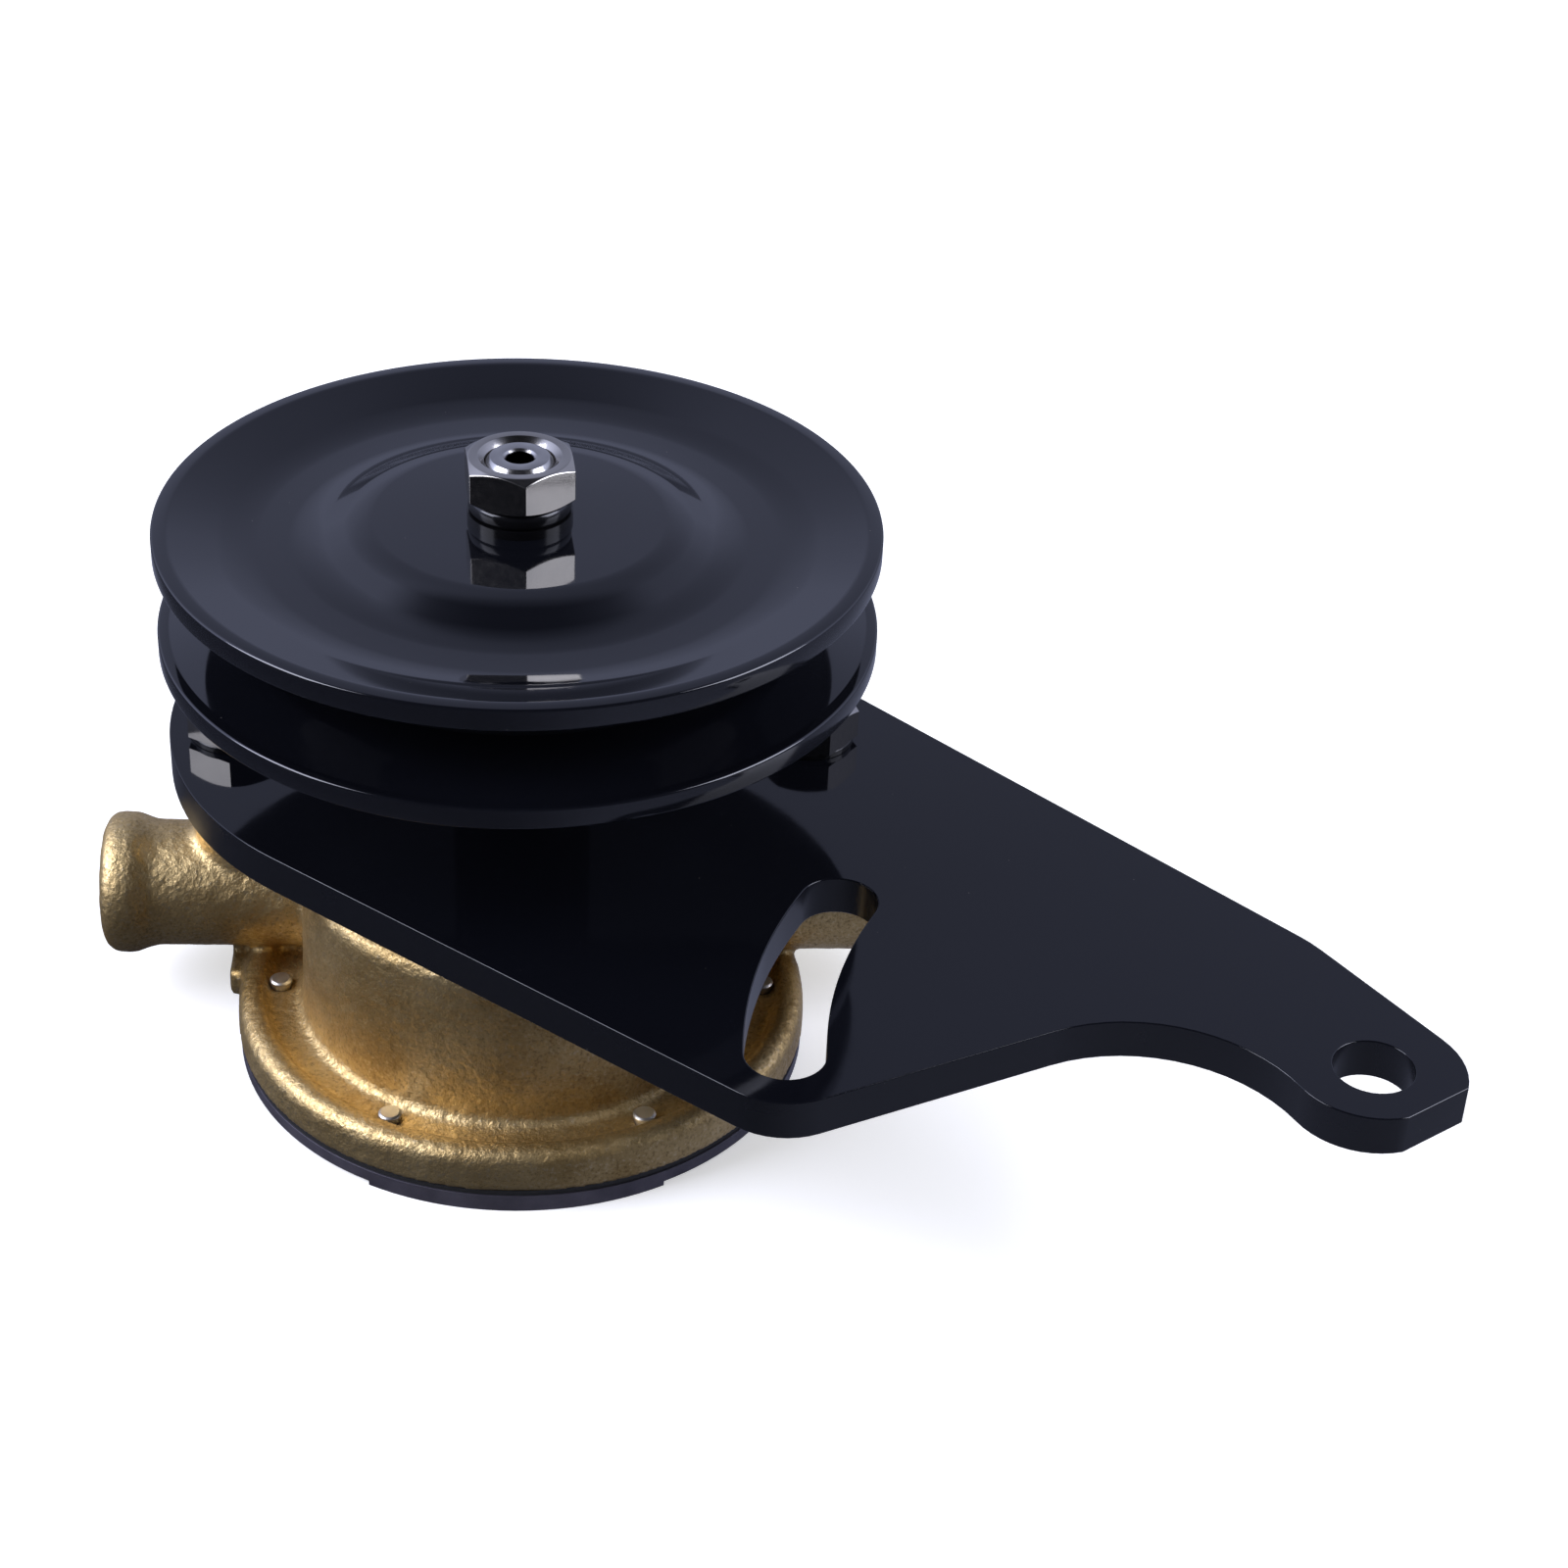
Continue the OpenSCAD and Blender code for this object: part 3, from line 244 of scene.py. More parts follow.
finishes = {
    "black_paint": blackEnamel("blackEnamel", 0.05, 1.55),
    "bronze_casting": castBronze(),
    # cast brass turned bright on a lathe: yellow, with fine turning marks
    "machined_brass": metalFinish("turnedBrass", "#d9ba74", "#c2a05a", 0.5, (0.22, 0.38), 0.01),
    # zinc plate on steel: bright, slightly blue, a little clouded
    "bright_steel": metalFinish("zincPlate", "#aeaaa2", "#a19e98", 1.6, (0.13, 0.19), 0.002),
    # black oxide on spring steel: oily black with a soft shine
    "black_steel": metalFinish("blackOxide", "#0b0b0d", "#131315", 1.2, (0.14, 0.22), 0.004, 0.2),
    # ground stainless steel: neutral grey
    "stainless": metalFinish("groundStainless", "#c6c6c8", "#aeadb0", 0.5, (0.18, 0.32), 0.008),
    # hardened bearing steel, lapped
    "bearing_steel": metalFinish("lappedSteel", "#d5d6d9", "#c3c4c8", 0.9, (0.10, 0.18), 0.004),
    # phosphated steel plate, dark grey with a violet cast
    "dark_cover": metalFinish("phosphatedSteel", "#5b5863", "#47444e", 1.2, (0.42, 0.60), 0.03, 0.6),
    "black_rubber": nitrileRubber(),
}
# the shaft's stainless steel again, with painted shade blackening its end hole
shaftSteel = metalFinish("shaftStainless", "#b9b7b3", "#a6a4a1", 0.7, (0.16, 0.26), 0.004, 1.0, 3.2)
# turned steel screw ends, dull and pale
screwSteel = metalFinish("turnedSteel", "#dcd8cf", "#bfbab0", 0.9, (0.34, 0.48), 0.01)
plateEnamel = blackEnamel("plateEnamel", 0.22, 1.44)
print("materials made:", len(finishes) + 3)


# Mesh tools

def roundedSection(bm, corners):
    # a face in the XZ plane whose corners (across, up, radius) are rounded by vertex bevels
    points = [Vector((x, 0, z)) * mm for x, z, radius in corners]
    verts = [bm.verts.new(point) for point in points]
    bm.faces.new(verts)
    for i, (x, z, radius) in enumerate(corners):
        if radius > 0:
            toLast = (points[i - 1] - points[i]).normalized()
            toNext = (points[(i + 1) % len(points)] - points[i]).normalized()
            half = toLast.angle(toNext) / 2
            segments = max(3, min(14, int(radius * 2.5)))
            bmesh.ops.bevel(bm, geom=[verts[i]], offset=radius * mm / math.tan(half), affect="VERTICES",
                            segments=segments, profile=0.5, material=-1)
    return list(bm.faces)


def spinSection(corners, steps=256, turn=360.0):
    # a section turned about the shaft's axis; a full turn keeps only the surface
    bm = bmesh.new()
    section = roundedSection(bm, corners)
    full = turn >= 360
    if full:
        bmesh.ops.delete(bm, geom=section, context="FACES_ONLY")
    geom = list(bm.verts) + list(bm.edges) + list(bm.faces)
    bmesh.ops.spin(bm, geom=geom, axis=(0, 0, 1), cent=(0, 0, 0), angle=math.radians(turn),
                   steps=steps, use_merge=full)
    bmesh.ops.remove_doubles(bm, verts=bm.verts, dist=0.001 * mm)
    bmesh.ops.recalc_face_normals(bm, faces=bm.faces)
    return bm


def joinInto(whole, part):
    mesh = bpy.data.meshes.new("joined")
    part.to_mesh(mesh)
    part.free()
    whole.from_mesh(mesh)
    bpy.data.meshes.remove(mesh)


def copyOfNode(node, flatWithin=0.0):
    # the CAD node's own shape; flatWithin, in degrees, makes faces that lie so nearly flat one
    bm = bmesh.new()
    bm.from_mesh(cadNodes[node].data)
    bmesh.ops.remove_doubles(bm, verts=bm.verts, dist=0.002 * mm)
    if flatWithin:
        bmesh.ops.dissolve_limit(bm, angle_limit=math.radians(flatWithin), verts=bm.verts, edges=bm.edges)
    return bm


def makePiece(name, bm, body, slot, nodes, sharpAngle=32, material=None):
    mesh = bpy.data.meshes.new(name)
    bm.to_mesh(mesh)
    bm.free()
    mesh.polygons.foreach_set("use_smooth", [True] * len(mesh.polygons))
    mesh.set_sharp_from_angle(angle=math.radians(sharpAngle))
    piece = bpy.data.objects.new(name, mesh)
    scene.collection.objects.link(piece)
    mesh.materials.append(material or finishes[slot])
    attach(piece, body)
    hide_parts(*nodes)
    return piece


def addBevel(piece, width, segments, angle):
    # broken edges, on every edge sharper than the angle
    bevel = piece.modifiers.new("edgeBreak", "BEVEL")
    bevel.width = width * mm
    bevel.segments = segments
    bevel.limit_method = "ANGLE"
    bevel.angle_limit = math.radians(angle)
    shine = piece.modifiers.new("flatShine", "WEIGHTED_NORMAL")  # keeps flat faces flat in gloss
    shine.keep_sharp = True


# Pulley

rimLow, rimHigh = (corner.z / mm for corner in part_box("pulley_front_half"))
rearLow, rearHigh = (corner.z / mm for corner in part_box("pulley_rear_half"))
pulley = {
    "radius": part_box("pulley_front_half")[1].x / mm,
    "bore": 7.98,
    "hubBore": 16.54,
    "lip": 3.4,          # width of the flat lip along each rim
    "dish": 5.0,         # depth from the lip to the valley
    "slope": 18.0,       # degrees, the side of the belt groove
    "plateauRise": 0.4,
    "plateauRadius": 36.5,
    "plateauFoot": 48.0,
    "frontSheet": 5.3,
    "rearSheet": 5.2,
    "valleyBend": 30.0,  # bend radii of the sheet
    "plateauBend": 16.0,
    "footBend": 20.0,
    "lipBend": 3.0,
    "edgeBreak": 0.6,
}


def makePulley():
    outer, bore = pulley["radius"], pulley["bore"]
    lipIn = outer - pulley["lip"]
    valley = lipIn - pulley["dish"] / math.tan(math.radians(pulley["slope"]))
    top = rimHigh
    lipTop = top - pulley["plateauRise"]
    sheet = pulley["frontSheet"]
    lean = math.tan(math.radians(pulley["slope"] / 2)) * sheet
    hatSlope = math.atan((pulley["dish"] + pulley["plateauRise"])
                         / (pulley["plateauFoot"] - pulley["plateauRadius"]))
    hatLean = math.tan(hatSlope / 2) * sheet
    bend, lipBend, edge = pulley["valleyBend"], pulley["lipBend"], pulley["edgeBreak"]
    floorLow = lipTop - sheet - pulley["dish"]
    front = [
        (bore, top - sheet, 0),
        (pulley["plateauRadius"] - hatLean, top - sheet, pulley["plateauBend"] - sheet),
        (pulley["plateauFoot"] - hatLean, floorLow, pulley["footBend"] + sheet),
        (valley + lean, floorLow, bend), (lipIn + lean, lipTop - sheet, lipBend / 2),
        (outer, lipTop - sheet, edge), (outer, lipTop, edge), (lipIn, lipTop, lipBend),
        (valley, lipTop - pulley["dish"], bend),
        (pulley["plateauFoot"], lipTop - pulley["dish"], pulley["footBend"]),
        (pulley["plateauRadius"], top, pulley["plateauBend"]), (bore, top, 0),
    ]
    makePiece("pulleyFront", spinSection(front), "rotor", "black_paint", ["pulley_front_half"])
    sheet = pulley["rearSheet"]
    lean = math.tan(math.radians(pulley["slope"] / 2)) * sheet
    rimTop = rearLow + sheet
    rear = [
        (pulley["hubBore"], rearHigh - sheet, 0), (valley, rearHigh - sheet, bend),
        (lipIn, rearLow, lipBend), (outer, rearLow, edge), (outer, rimTop, edge),
        (lipIn + lean, rimTop, lipBend / 2), (valley + lean, rearHigh, bend),
        (pulley["hubBore"], rearHigh, 0),
    ]
    makePiece("pulleyRear", spinSection(rear), "rotor", "black_paint", ["pulley_rear_half"])


makePulley()
print("pulley made")

nut = {
    "flats": 23.8,
    "turn": 6.6,         # degrees, as the photograph shows it
    "bore": 7.98,
    "countersink": 9.5,  # radius at the nut's faces
    "sinkDepth": 1.3,
    "sinkRound": 0.3,
    "bevel": 30.0,       # degrees, of the cone that takes the corners off
    "faceInset": 0.4,    # how far the cone starts inside the flats
    "cornerSpare": 0.2,  # how far the turned blank stands out past the corners
    "coneSpare": 0.3,
    "steps": 240,
    "edgeBreak": 0.16,
    "breakAngle": 24,
    "sharp": 18,
}


def makeNut():
    low, high = (corner.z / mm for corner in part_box("pulley_nut"))
    corner = nut["flats"] / math.sqrt(3)
    flat = nut["flats"] / 2
    face = flat - nut["faceInset"]
    blank = corner + nut["cornerSpare"]
    drop = (corner - flat) * math.tan(math.radians(nut["bevel"]))
    spare = nut["coneSpare"]
    bm = spinSection([
        (nut["bore"], low + nut["sinkDepth"], 0), (nut["countersink"], low, 0), (face, low, 0),
        (blank, low + drop + spare, 0), (blank, high - drop - spare, 0), (face, high, 0),
        (nut["countersink"], high, nut["sinkRound"]),
        (nut["bore"], high - nut["sinkDepth"], nut["sinkRound"]),
    ], steps=nut["steps"])
    for side in range(6):
        angle = math.radians(60 * side + nut["turn"])
        outward = Vector((math.cos(angle), math.sin(angle), 0))
        cut = bmesh.ops.bisect_plane(bm, geom=list(bm.verts) + list(bm.edges) + list(bm.faces),
                                     plane_co=outward * flat * mm, plane_no=outward, clear_outer=True)
        rim = [item for item in cut["geom_cut"] if isinstance(item, bmesh.types.BMEdge)]
        bmesh.ops.contextual_create(bm, geom=rim)
    bmesh.ops.recalc_face_normals(bm, faces=bm.faces)
    piece = makePiece("hexNut", bm, "rotor", "bright_steel", ["pulley_nut"], nut["sharp"])
    addBevel(piece, nut["edgeBreak"], 2, nut["breakAngle"])


lockWasher = {
    "inner": 7.98,
    "outer": 11.7,
    "gap": 8.0,          # degrees
    "innerRound": 0.3,
    "lowRound": 1.1,
    "highRound": 1.6,
    "steps": 160,
}


def makeLockWasher():
    low, high = (corner.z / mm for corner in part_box("lock_washer"))
    inner, outer = lockWasher["inner"], lockWasher["outer"]
    section = [(inner, low, lockWasher["innerRound"]), (outer, low, lockWasher["lowRound"]),
               (outer, high, lockWasher["highRound"]), (inner, high, lockWasher["innerRound"])]
    bm = spinSection(section, lockWasher["steps"], 360 - lockWasher["gap"])
    turned = Matrix.Rotation(math.radians(90 + lockWasher["gap"] / 2), 4, "Z")
    bmesh.ops.transform(bm, matrix=turned, verts=bm.verts)
    makePiece("lockRing", bm, "rotor", "black_steel", ["lock_washer"])


makeNut()
makeLockWasher()
print("nut and washer made")

shaftEnd = {
    "radius": 7.94,
    "chamfer": 1.2,
    "chamferRound": 0.3,
    "endRound": 0.25,
    "mouth": 3.8,        # radius of the centre hole's cone at the shaft's face
    "mouthRound": 0.2,
    "hole": 3.1,
    "holeRound": 0.1,
    "holeDepth": 14.0,
    "drillPoint": 1.8,
    "threads": 7,
    "pitch": 1.4,
    "threadDepth": 0.45,
    "threadStart": 0.4,  # below the chamfer
    "steps": 128,
    "sharp": 25,
}


def makeShaft():
    # the whole shaft, turned in one, with its end hole and the nut's thread
    low, high = (corner.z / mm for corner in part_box("shaft"))
    r = shaftEnd["radius"]
    chamfer, pitch = shaftEnd["chamfer"], shaftEnd["pitch"]
    threads = []
    for i in range(shaftEnd["threads"]):
        z = high - chamfer - shaftEnd["threadStart"] - i * pitch
        threads += [(r, z, 0), (r - shaftEnd["threadDepth"], z - pitch / 2, 0)]
    bm = spinSection([
        (0, low, 0), (r - chamfer, low, shaftEnd["chamferRound"]),
        (r, low + chamfer, shaftEnd["chamferRound"]), *reversed(threads),
        (r - chamfer, high, shaftEnd["endRound"]), (shaftEnd["mouth"], high, shaftEnd["mouthRound"]),
        (shaftEnd["hole"], high - shaftEnd["mouth"] + shaftEnd["hole"], shaftEnd["holeRound"]),
        (shaftEnd["hole"], high - shaftEnd["holeDepth"], 0),
        (0, high - shaftEnd["holeDepth"] - shaftEnd["drillPoint"], 0),
    ], steps=shaftEnd["steps"])
    makePiece("pumpShaft", bm, "rotor", "stainless", ["shaft"], shaftEnd["sharp"], shaftSteel)


makeShaft()
print("shaft made")


# Bracket and its bolts

flatEnough = 0.4         # degrees between the facets of one flat CAD face
bracket = {"edgeBreak": 0.25, "breakAngle": 40, "sharp": 30}


def makeBracket():
    bm = copyOfNode("mounting_bracket", flatEnough)
    piece = makePiece("bracketPlate", bm, "pump_body", "black_paint", ["mounting_bracket"],
                      bracket["sharp"], plateEnamel)
    addBevel(piece, bracket["edgeBreak"], 3, bracket["breakAngle"])


bolts = {"edgeBreak": 0.16, "breakAngle": 24, "sharp": 18}


def makeBolts():
    for name, node, slot in (("boltPair", "bracket_bolts", "bright_steel"),
                             ("boltRings", "bracket_washers", "black_steel")):
        piece = makePiece(name, copyOfNode(node, flatEnough), "pump_body", slot, [node], bolts["sharp"])
        addBevel(piece, bolts["edgeBreak"], 2, bolts["breakAngle"])


makeBracket()
makeBolts()
print("bracket made")

casting = {
    "voxel": 1.05,       # millimetres
    "smoothing": 3,      # passes
    "smoothShare": 0.5,
    "lump": 0.10,        # height of the sand's marks in millimetres
    "lumpSize": 3.2,
    "grainHeight": 0.06,
    "grainSize": 1.3,
    "chamber": 48.0,     # radius of the impeller's chamber
    "ceiling": 37.6,     # its upper end, above the bench
    "seatTop": 65.5,     # the plate's seat
    "seatDepth": 3.0,    # what is machined below it
    "housing": 28.5,     # radius of the bearing housing's machined face
    "footBand": 0.9,     # height of the flange's machined lower face
    "chamberBand": 1.2,  # the sand's marks keep this far from the chamber's wall
    "ceilingBand": 1.0,
    "trueWithin": 0.9,   # the chamber's wall is made round again within this
    "trueBelow": 0.6,    # and this far below the ceiling
    "portPlace": (20.0, 29.9),   # behind the shaft and above the bench
    "beadRadius": 17.6,
    "beadFrom": 94.3,
    "beadTo": 103.9,
    "beadBend": 3.8,
    "beadSteps": 64,
    "portBore": 12.5,
    "sharp": 60,
}


def addBeads(bm):
    start, end, bend = casting["beadFrom"], casting["beadTo"], casting["beadBend"]
    place = Matrix.Translation(Vector((0, *casting["portPlace"])) * mm)
    for side in (-1, 1):
        ring = spinSection([(casting["portBore"], start, 0), (casting["beadRadius"], start, bend),
                            (casting["beadRadius"], end, bend), (casting["portBore"], end, 0)],
                           casting["beadSteps"])
        laid = Matrix.Rotation(math.radians(90 * side), 4, "Y")
        bmesh.ops.transform(ring, matrix=place @ laid, verts=ring.verts)
        joinInto(bm, ring)


def softenedAsCast(bm):
    # one skin of even small faces over all, with its edges run soft as sand leaves them
    mesh = bpy.data.meshes.new("castingCore")
    bm.to_mesh(mesh)
    bm.free()
    core = bpy.data.objects.new("castingCore", mesh)
    scene.collection.objects.link(core)
    remesh = core.modifiers.new("sandMould", "REMESH")
    remesh.mode = "VOXEL"
    remesh.voxel_size = casting["voxel"] * mm
    soften = core.modifiers.new("soften", "SMOOTH")
    soften.factor = casting["smoothShare"]
    soften.iterations = casting["smoothing"]
    bpy.context.view_layer.update()
    evaluated = core.evaluated_get(bpy.context.evaluated_depsgraph_get())
    bm = bmesh.new()
    bm.from_mesh(evaluated.to_mesh())
    evaluated.to_mesh_clear()
    bpy.data.objects.remove(core)
    bm.normal_update()
    return bm


def isMachined(x, y, z, low):
    across = math.hypot(x, y)
    foot = z < low + casting["footBand"]
    chamber = (across < casting["chamber"] + casting["chamberBand"]
               and z < casting["ceiling"] + casting["ceilingBand"])
    seat = across < casting["housing"] and z > casting["seatTop"] - casting["seatDepth"]
    return foot or chamber or seat


def sandMark(vert):
    coarse = noise.noise(vert.co / (casting["lumpSize"] * mm)) * casting["lump"]
    fine = noise.noise(vert.co / (casting["grainSize"] * mm)) * casting["grainHeight"]
    return vert.normal * (coarse + fine) * mm


def makeCasting():
    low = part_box("body_casting")[0].z / mm
    bm = copyOfNode("body_casting")
    addBeads(bm)
    bm = softenedAsCast(bm)
    still = Vector((0, 0, 0))
    moves = [still if isMachined(*(vert.co / mm), low) else sandMark(vert) for vert in bm.verts]
    for vert, move in zip(bm.verts, moves):
        vert.co += move
        x, y, z = vert.co / mm
        across = math.hypot(x, y)
        onWall = abs(across - casting["chamber"]) < casting["trueWithin"]
        if onWall and z < casting["ceiling"] - casting["trueBelow"]:
            vert.co.x *= casting["chamber"] / across
            vert.co.y *= casting["chamber"] / across
        vert.co.z = max(vert.co.z, low * mm)
    makePiece("bronzeBody", bm, "pump_body", "bronze_casting", ["body_casting"], casting["sharp"])


makeCasting()
print("casting made")

screws = {
    "count": 6,
    "circle": 59.9,      # radius on which they stand
    "radius": 2.45,
    "head": 4.6,
    "tip": 2.75,
    "tipOut": 0.8,       # how far the tip stands out past the CAD's
    "tipNeck": 1.0,
    "dome": 0.45,
    "domeShare": 0.8,    # share of the tip that the dome's flat middle takes
    "domeDrop": 0.06,
    "tipRound": 0.2,
    "domeRound": 0.3,
    "steps": 32,
    "sharp": 35,
}


def makeScrews():
    low, high = (corner.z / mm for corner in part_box("cover_screws"))
    r, head, tip, dome = screws["radius"], screws["head"], screws["tip"], screws["dome"]
    top = high + screws["tipOut"]
    section = [
        (0, low, 0), (head, low, 0), (r, low + head - r, 0), (r, high - dome - screws["tipNeck"], 0),
        (tip, high - dome, 0), (tip, top - dome, screws["tipRound"]),
        (tip * screws["domeShare"], top - screws["domeDrop"], screws["domeRound"]), (0, top, 0),
    ]
    whole = bmesh.new()
    for i in range(screws["count"]):
        one = spinSection(section, screws["steps"])
        angle = math.tau * i / screws["count"]
        place = Matrix.Translation(Vector((math.cos(angle), math.sin(angle), 0)) * screws["circle"] * mm)
        bmesh.ops.transform(one, matrix=place, verts=one.verts)
        joinInto(whole, one)
    makePiece("coverScrews", whole, "pump_body", "bright_steel", ["cover_screws"], screws["sharp"],
              screwSteel)


cover = {"edgeBreak": 0.35, "breakAngle": 40, "sharp": 30}


def makeCover():
    piece = makePiece("endPlate", copyOfNode("end_cover", flatEnough), "pump_body", "dark_cover",
                      ["end_cover"], cover["sharp"])
    addBevel(piece, cover["edgeBreak"], 2, cover["breakAngle"])


makeScrews()
makeCover()
print("screws and cover made")

# What stays as the CAD made it: inner pieces and plain rings
slotOf = {part["node"]: part["material_slot"] for part in frame["record"]["subparts"]}
for name, node in cadNodes.items():
    node.data.materials.clear()
    node.data.materials.append(finishes[slotOf[name]])
print("CAD nodes finished")


# Floor, lamps and sky

studio = {
    "floorSize": 6.0,     # metres
    # what the floor adds for the camera, so that it reads white: near the pump and far from it
    "floorGlow": (0.45, 1.0),
    "glowReach": (0.45, 1.3),  # metres from the pump between which it grows
    # the bench as paint and metal mirror it: dark towards the front left, lighter elsewhere
    "benchDark": 0.07,
    "benchLight": 0.25,
    "benchLightSide": 62.0,      # azimuth, degrees from straight ahead
    "benchTurn": (-0.6, 0.05),   # cosines from that side between which it goes from dark to light
    "skyDiffuse": 0.42,
    # what gloss sees at each height (sine of the elevation), as the pulley's dish shows it
    "heights": ((0.0, 0.26), (0.26, 0.46), (0.42, 0.44), (0.57, 0.33), (0.71, 0.26), (0.82, 0.22),
                (0.91, 0.14), (0.97, 0.05), (1.0, 0.045)),
    "behind": 0.12,       # share of it on the camera's side
    "behindTurn": 0.35,   # it changes between this far behind and this far ahead
    "glowTop": (0.92, 0.75),     # heights between which the glows set in, going down
    "glowBack": (-0.35, 0.1),    # and how far behind or ahead
    # glow round the two boxes: azimuth from straight ahead, elevation, strength, fall-off
    "glows": ((-104.0, 33.0, 1.5, 2.8), (103.0, 33.0, 0.76, 3.0)),
    "tint": (0.90, 0.98, 1.42),
    "lampTint": (0.93, 0.96, 1.15),
    "lamps": (
        # name, azimuth, elevation, distance in metres, width, height, watts
        ("leftBox", -104.0, 33.0, 1.3, 0.70, 0.80, 15.0),
        ("rightBox", 103.0, 33.0, 1.3, 0.70, 0.80, 13.0),
    ),
    "lampAim": (0.03, 0.0, 0.08),
}


def towards(azimuth, elevation):
    across, up = math.radians(azimuth), math.radians(elevation)
    return Vector((math.sin(across) * math.cos(up), math.cos(across) * math.cos(up), math.sin(up)))


def makeFloor():
    bm = bmesh.new()
    bmesh.ops.create_grid(bm, x_segments=1, y_segments=1, size=studio["floorSize"] / 2)
    mesh = bpy.data.meshes.new("floor")
    bm.to_mesh(mesh)
    bm.free()
    floor = bpy.data.objects.new("floor", mesh)
    scene.collection.objects.link(floor)
    material, tree, place = startMaterial("paperSweep")
    # matt white paper, with a faint tooth drawn at three millimetres so that it isn't lost
    tooth = addNode(tree, "ShaderNodeTexNoise", {"Vector": place, "Scale": perMetre(3)})
    colour = addNode(tree, "ShaderNodeMix", {0: tooth.outputs["Fac"], 6: linearColour("#f4f4f4"),
                                            7: linearColour("#f8f8f8")}, data_type="RGBA")
    paper = addNode(tree, "ShaderNodeBsdfDiffuse", {"Color": colour.outputs[2]})
    rays = addNode(tree, "ShaderNodeLightPath")
    seen = addNode(tree, "ShaderNodeMath", {0: rays.outputs["Is Camera Ray"],
                                           1: rays.outputs["Is Transmission Ray"]}, operation="MAXIMUM")
    away = addNode(tree, "ShaderNodeVectorMath", {0: place}, operation="LENGTH")
    reach = addNode(tree, "ShaderNodeMapRange", {
        "Value": away.outputs["Value"], "From Min": studio["glowReach"][0],
        "From Max": studio["glowReach"][1], "To Min": studio["floorGlow"][0],
        "To Max": studio["floorGlow"][1]})
    power = addNode(tree, "ShaderNodeMath", {0: seen.outputs[0], 1: reach.outputs[0]},
                    operation="MULTIPLY")
    glow = addNode(tree, "ShaderNodeEmission", {"Strength": power.outputs[0]})
    both = addNode(tree, "ShaderNodeAddShader", {0: paper.outputs[0], 1: glow.outputs[0]})
    outward = addNode(tree, "ShaderNodeVectorMath", {0: place}, operation="NORMALIZE")
    side = addNode(tree, "ShaderNodeVectorMath", {0: outward.outputs[0],
                                                 1: towards(studio["benchLightSide"], 0)},
                   operation="DOT_PRODUCT")
    level = addNode(tree, "ShaderNodeMapRange", {
        "Value": side.outputs["Value"], "From Min": studio["benchTurn"][0],
        "From Max": studio["benchTurn"][1], "To Min": studio["benchDark"],
        "To Max": studio["benchLight"]}, interpolation_type="SMOOTHSTEP")
    bench = addNode(tree, "ShaderNodeEmission", {"Color": list(studio["tint"]) + [1.0],
                                                "Strength": level.outputs[0]})
    seenByGloss = addNode(tree, "ShaderNodeMixShader", {0: rays.outputs["Is Glossy Ray"],
                                                       1: both.outputs[0], 2: bench.outputs[0]})
    endMaterial(tree, seenByGloss)
    mesh.materials.append(material)


def makeLamps():
    aim = Vector(studio["lampAim"])
    for name, azimuth, elevation, distance, width, height, watts in studio["lamps"]:
        data = bpy.data.lights.new(name, "AREA")
        data.shape = "RECTANGLE"
        data.size, data.size_y = width, height
        data.energy = watts
        data.color = studio["lampTint"]
        lamp = bpy.data.objects.new(name, data)
        lamp.location = aim + towards(azimuth, elevation) * distance
        lamp.rotation_euler = (aim - lamp.location).to_track_quat("-Z", "Y").to_euler()
        scene.collection.objects.link(lamp)


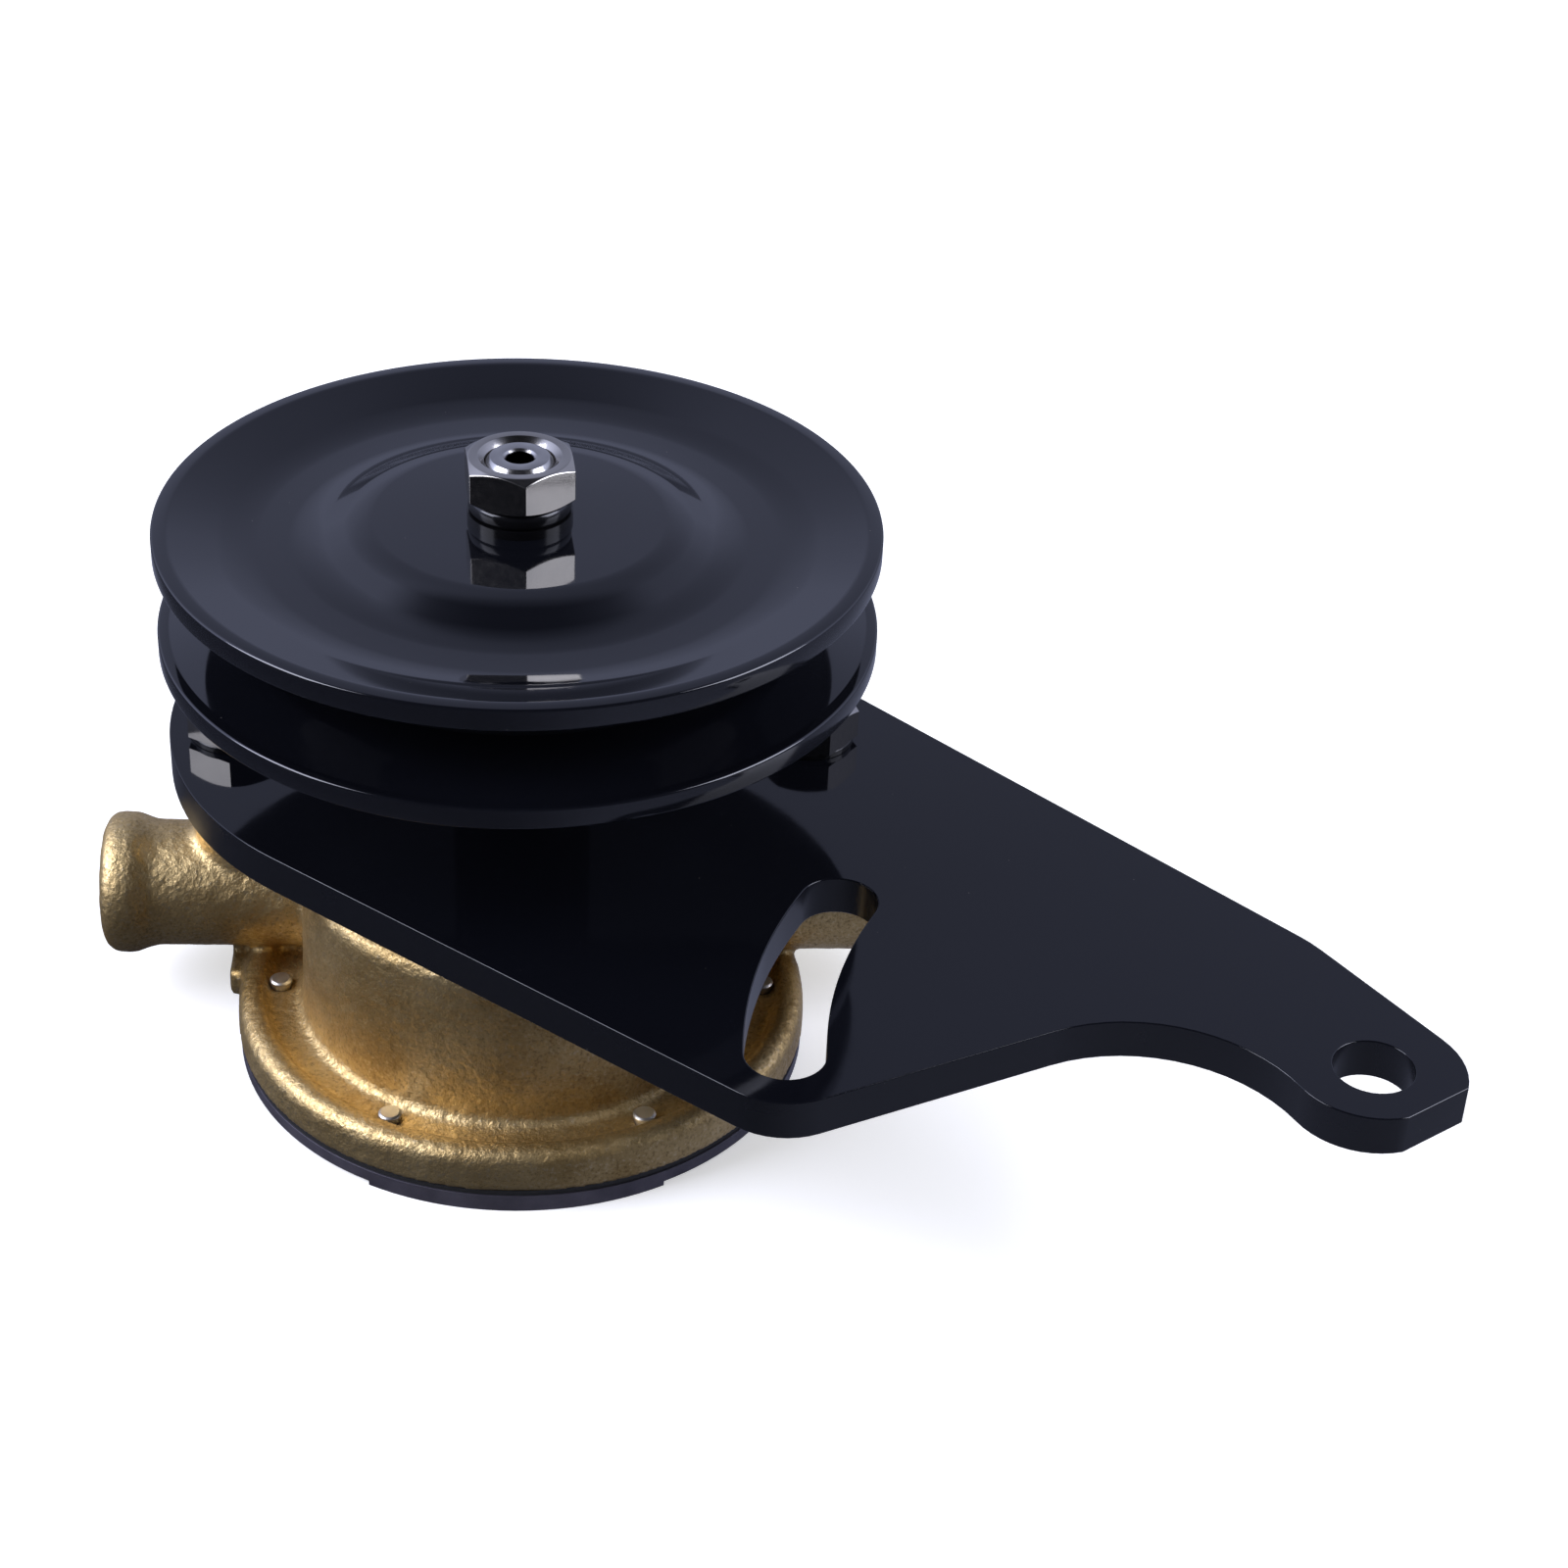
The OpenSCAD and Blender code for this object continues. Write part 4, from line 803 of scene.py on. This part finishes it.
def makeSky():
    world = bpy.data.worlds.new("studioSky")
    scene.world = world
    world.use_nodes = True
    tree = world.node_tree
    tree.nodes.clear()
    ray = addNode(tree, "ShaderNodeLightPath")
    direction = addNode(tree, "ShaderNodeTexCoord").outputs["Generated"]
    part = addNode(tree, "ShaderNodeSeparateXYZ", {0: direction})
    ramp = addNode(tree, "ShaderNodeValToRGB", {"Fac": part.outputs["Z"]})
    stops = ramp.color_ramp.elements
    while len(stops) < len(studio["heights"]):
        stops.new(0.5)
    for stop, (place, level) in zip(stops, studio["heights"]):
        stop.position, stop.color = place, (level, level, level, 1)
    turn = studio["behindTurn"]
    ahead = addNode(tree, "ShaderNodeMapRange", {"Value": part.outputs["Y"], "From Min": -turn,
                                                "From Max": turn, "To Min": studio["behind"]})
    total = addNode(tree, "ShaderNodeMath", {0: ramp.outputs["Color"], 1: ahead.outputs[0]},
                    operation="MULTIPLY")
    low = addNode(tree, "ShaderNodeMapRange", {
        "Value": part.outputs["Z"], "From Min": studio["glowTop"][0],
        "From Max": studio["glowTop"][1]}, interpolation_type="SMOOTHSTEP")
    far = addNode(tree, "ShaderNodeMapRange", {
        "Value": part.outputs["Y"], "From Min": studio["glowBack"][0],
        "From Max": studio["glowBack"][1]}, interpolation_type="SMOOTHSTEP")
    share = addNode(tree, "ShaderNodeMath", {0: low.outputs[0], 1: far.outputs[0]}, operation="MULTIPLY")
    for azimuth, elevation, strength, fall in studio["glows"]:
        near = addNode(tree, "ShaderNodeVectorMath", {0: direction, 1: towards(azimuth, elevation)},
                       operation="DOT_PRODUCT")
        lit = addNode(tree, "ShaderNodeMath", {0: near.outputs["Value"], 1: 0.0}, operation="MAXIMUM")
        soft = addNode(tree, "ShaderNodeMath", {0: lit.outputs[0], 1: fall}, operation="POWER")
        glow = addNode(tree, "ShaderNodeMath", {0: soft.outputs[0], 1: strength}, operation="MULTIPLY")
        total = addNode(tree, "ShaderNodeMath", {0: glow.outputs[0], 1: share.outputs[0],
                                                2: total.outputs[0]}, operation="MULTIPLY_ADD")
    tinted = addNode(tree, "ShaderNodeVectorMath", {0: studio["tint"], "Scale": total.outputs[0]},
                     operation="SCALE")
    plain = addNode(tree, "ShaderNodeCombineXYZ", {axis: studio["skyDiffuse"] for axis in "XYZ"})
    mirrored = addNode(tree, "ShaderNodeMix", {0: ray.outputs["Is Glossy Ray"], 4: plain.outputs[0],
                                              5: tinted.outputs[0]}, data_type="VECTOR")
    clear = addNode(tree, "ShaderNodeMath", {0: ray.outputs["Is Camera Ray"],
                                            1: ray.outputs["Is Transmission Ray"]}, operation="MAXIMUM")
    seen = addNode(tree, "ShaderNodeMix", {0: clear.outputs[0], 4: mirrored.outputs[1],
                                          5: (1, 1, 1)}, data_type="VECTOR")
    sky = addNode(tree, "ShaderNodeBackground", {"Color": seen.outputs[1]})
    addNode(tree, "ShaderNodeOutputWorld", {"Surface": sky.outputs[0]})


makeFloor()
makeLamps()
makeSky()
print("studio made")
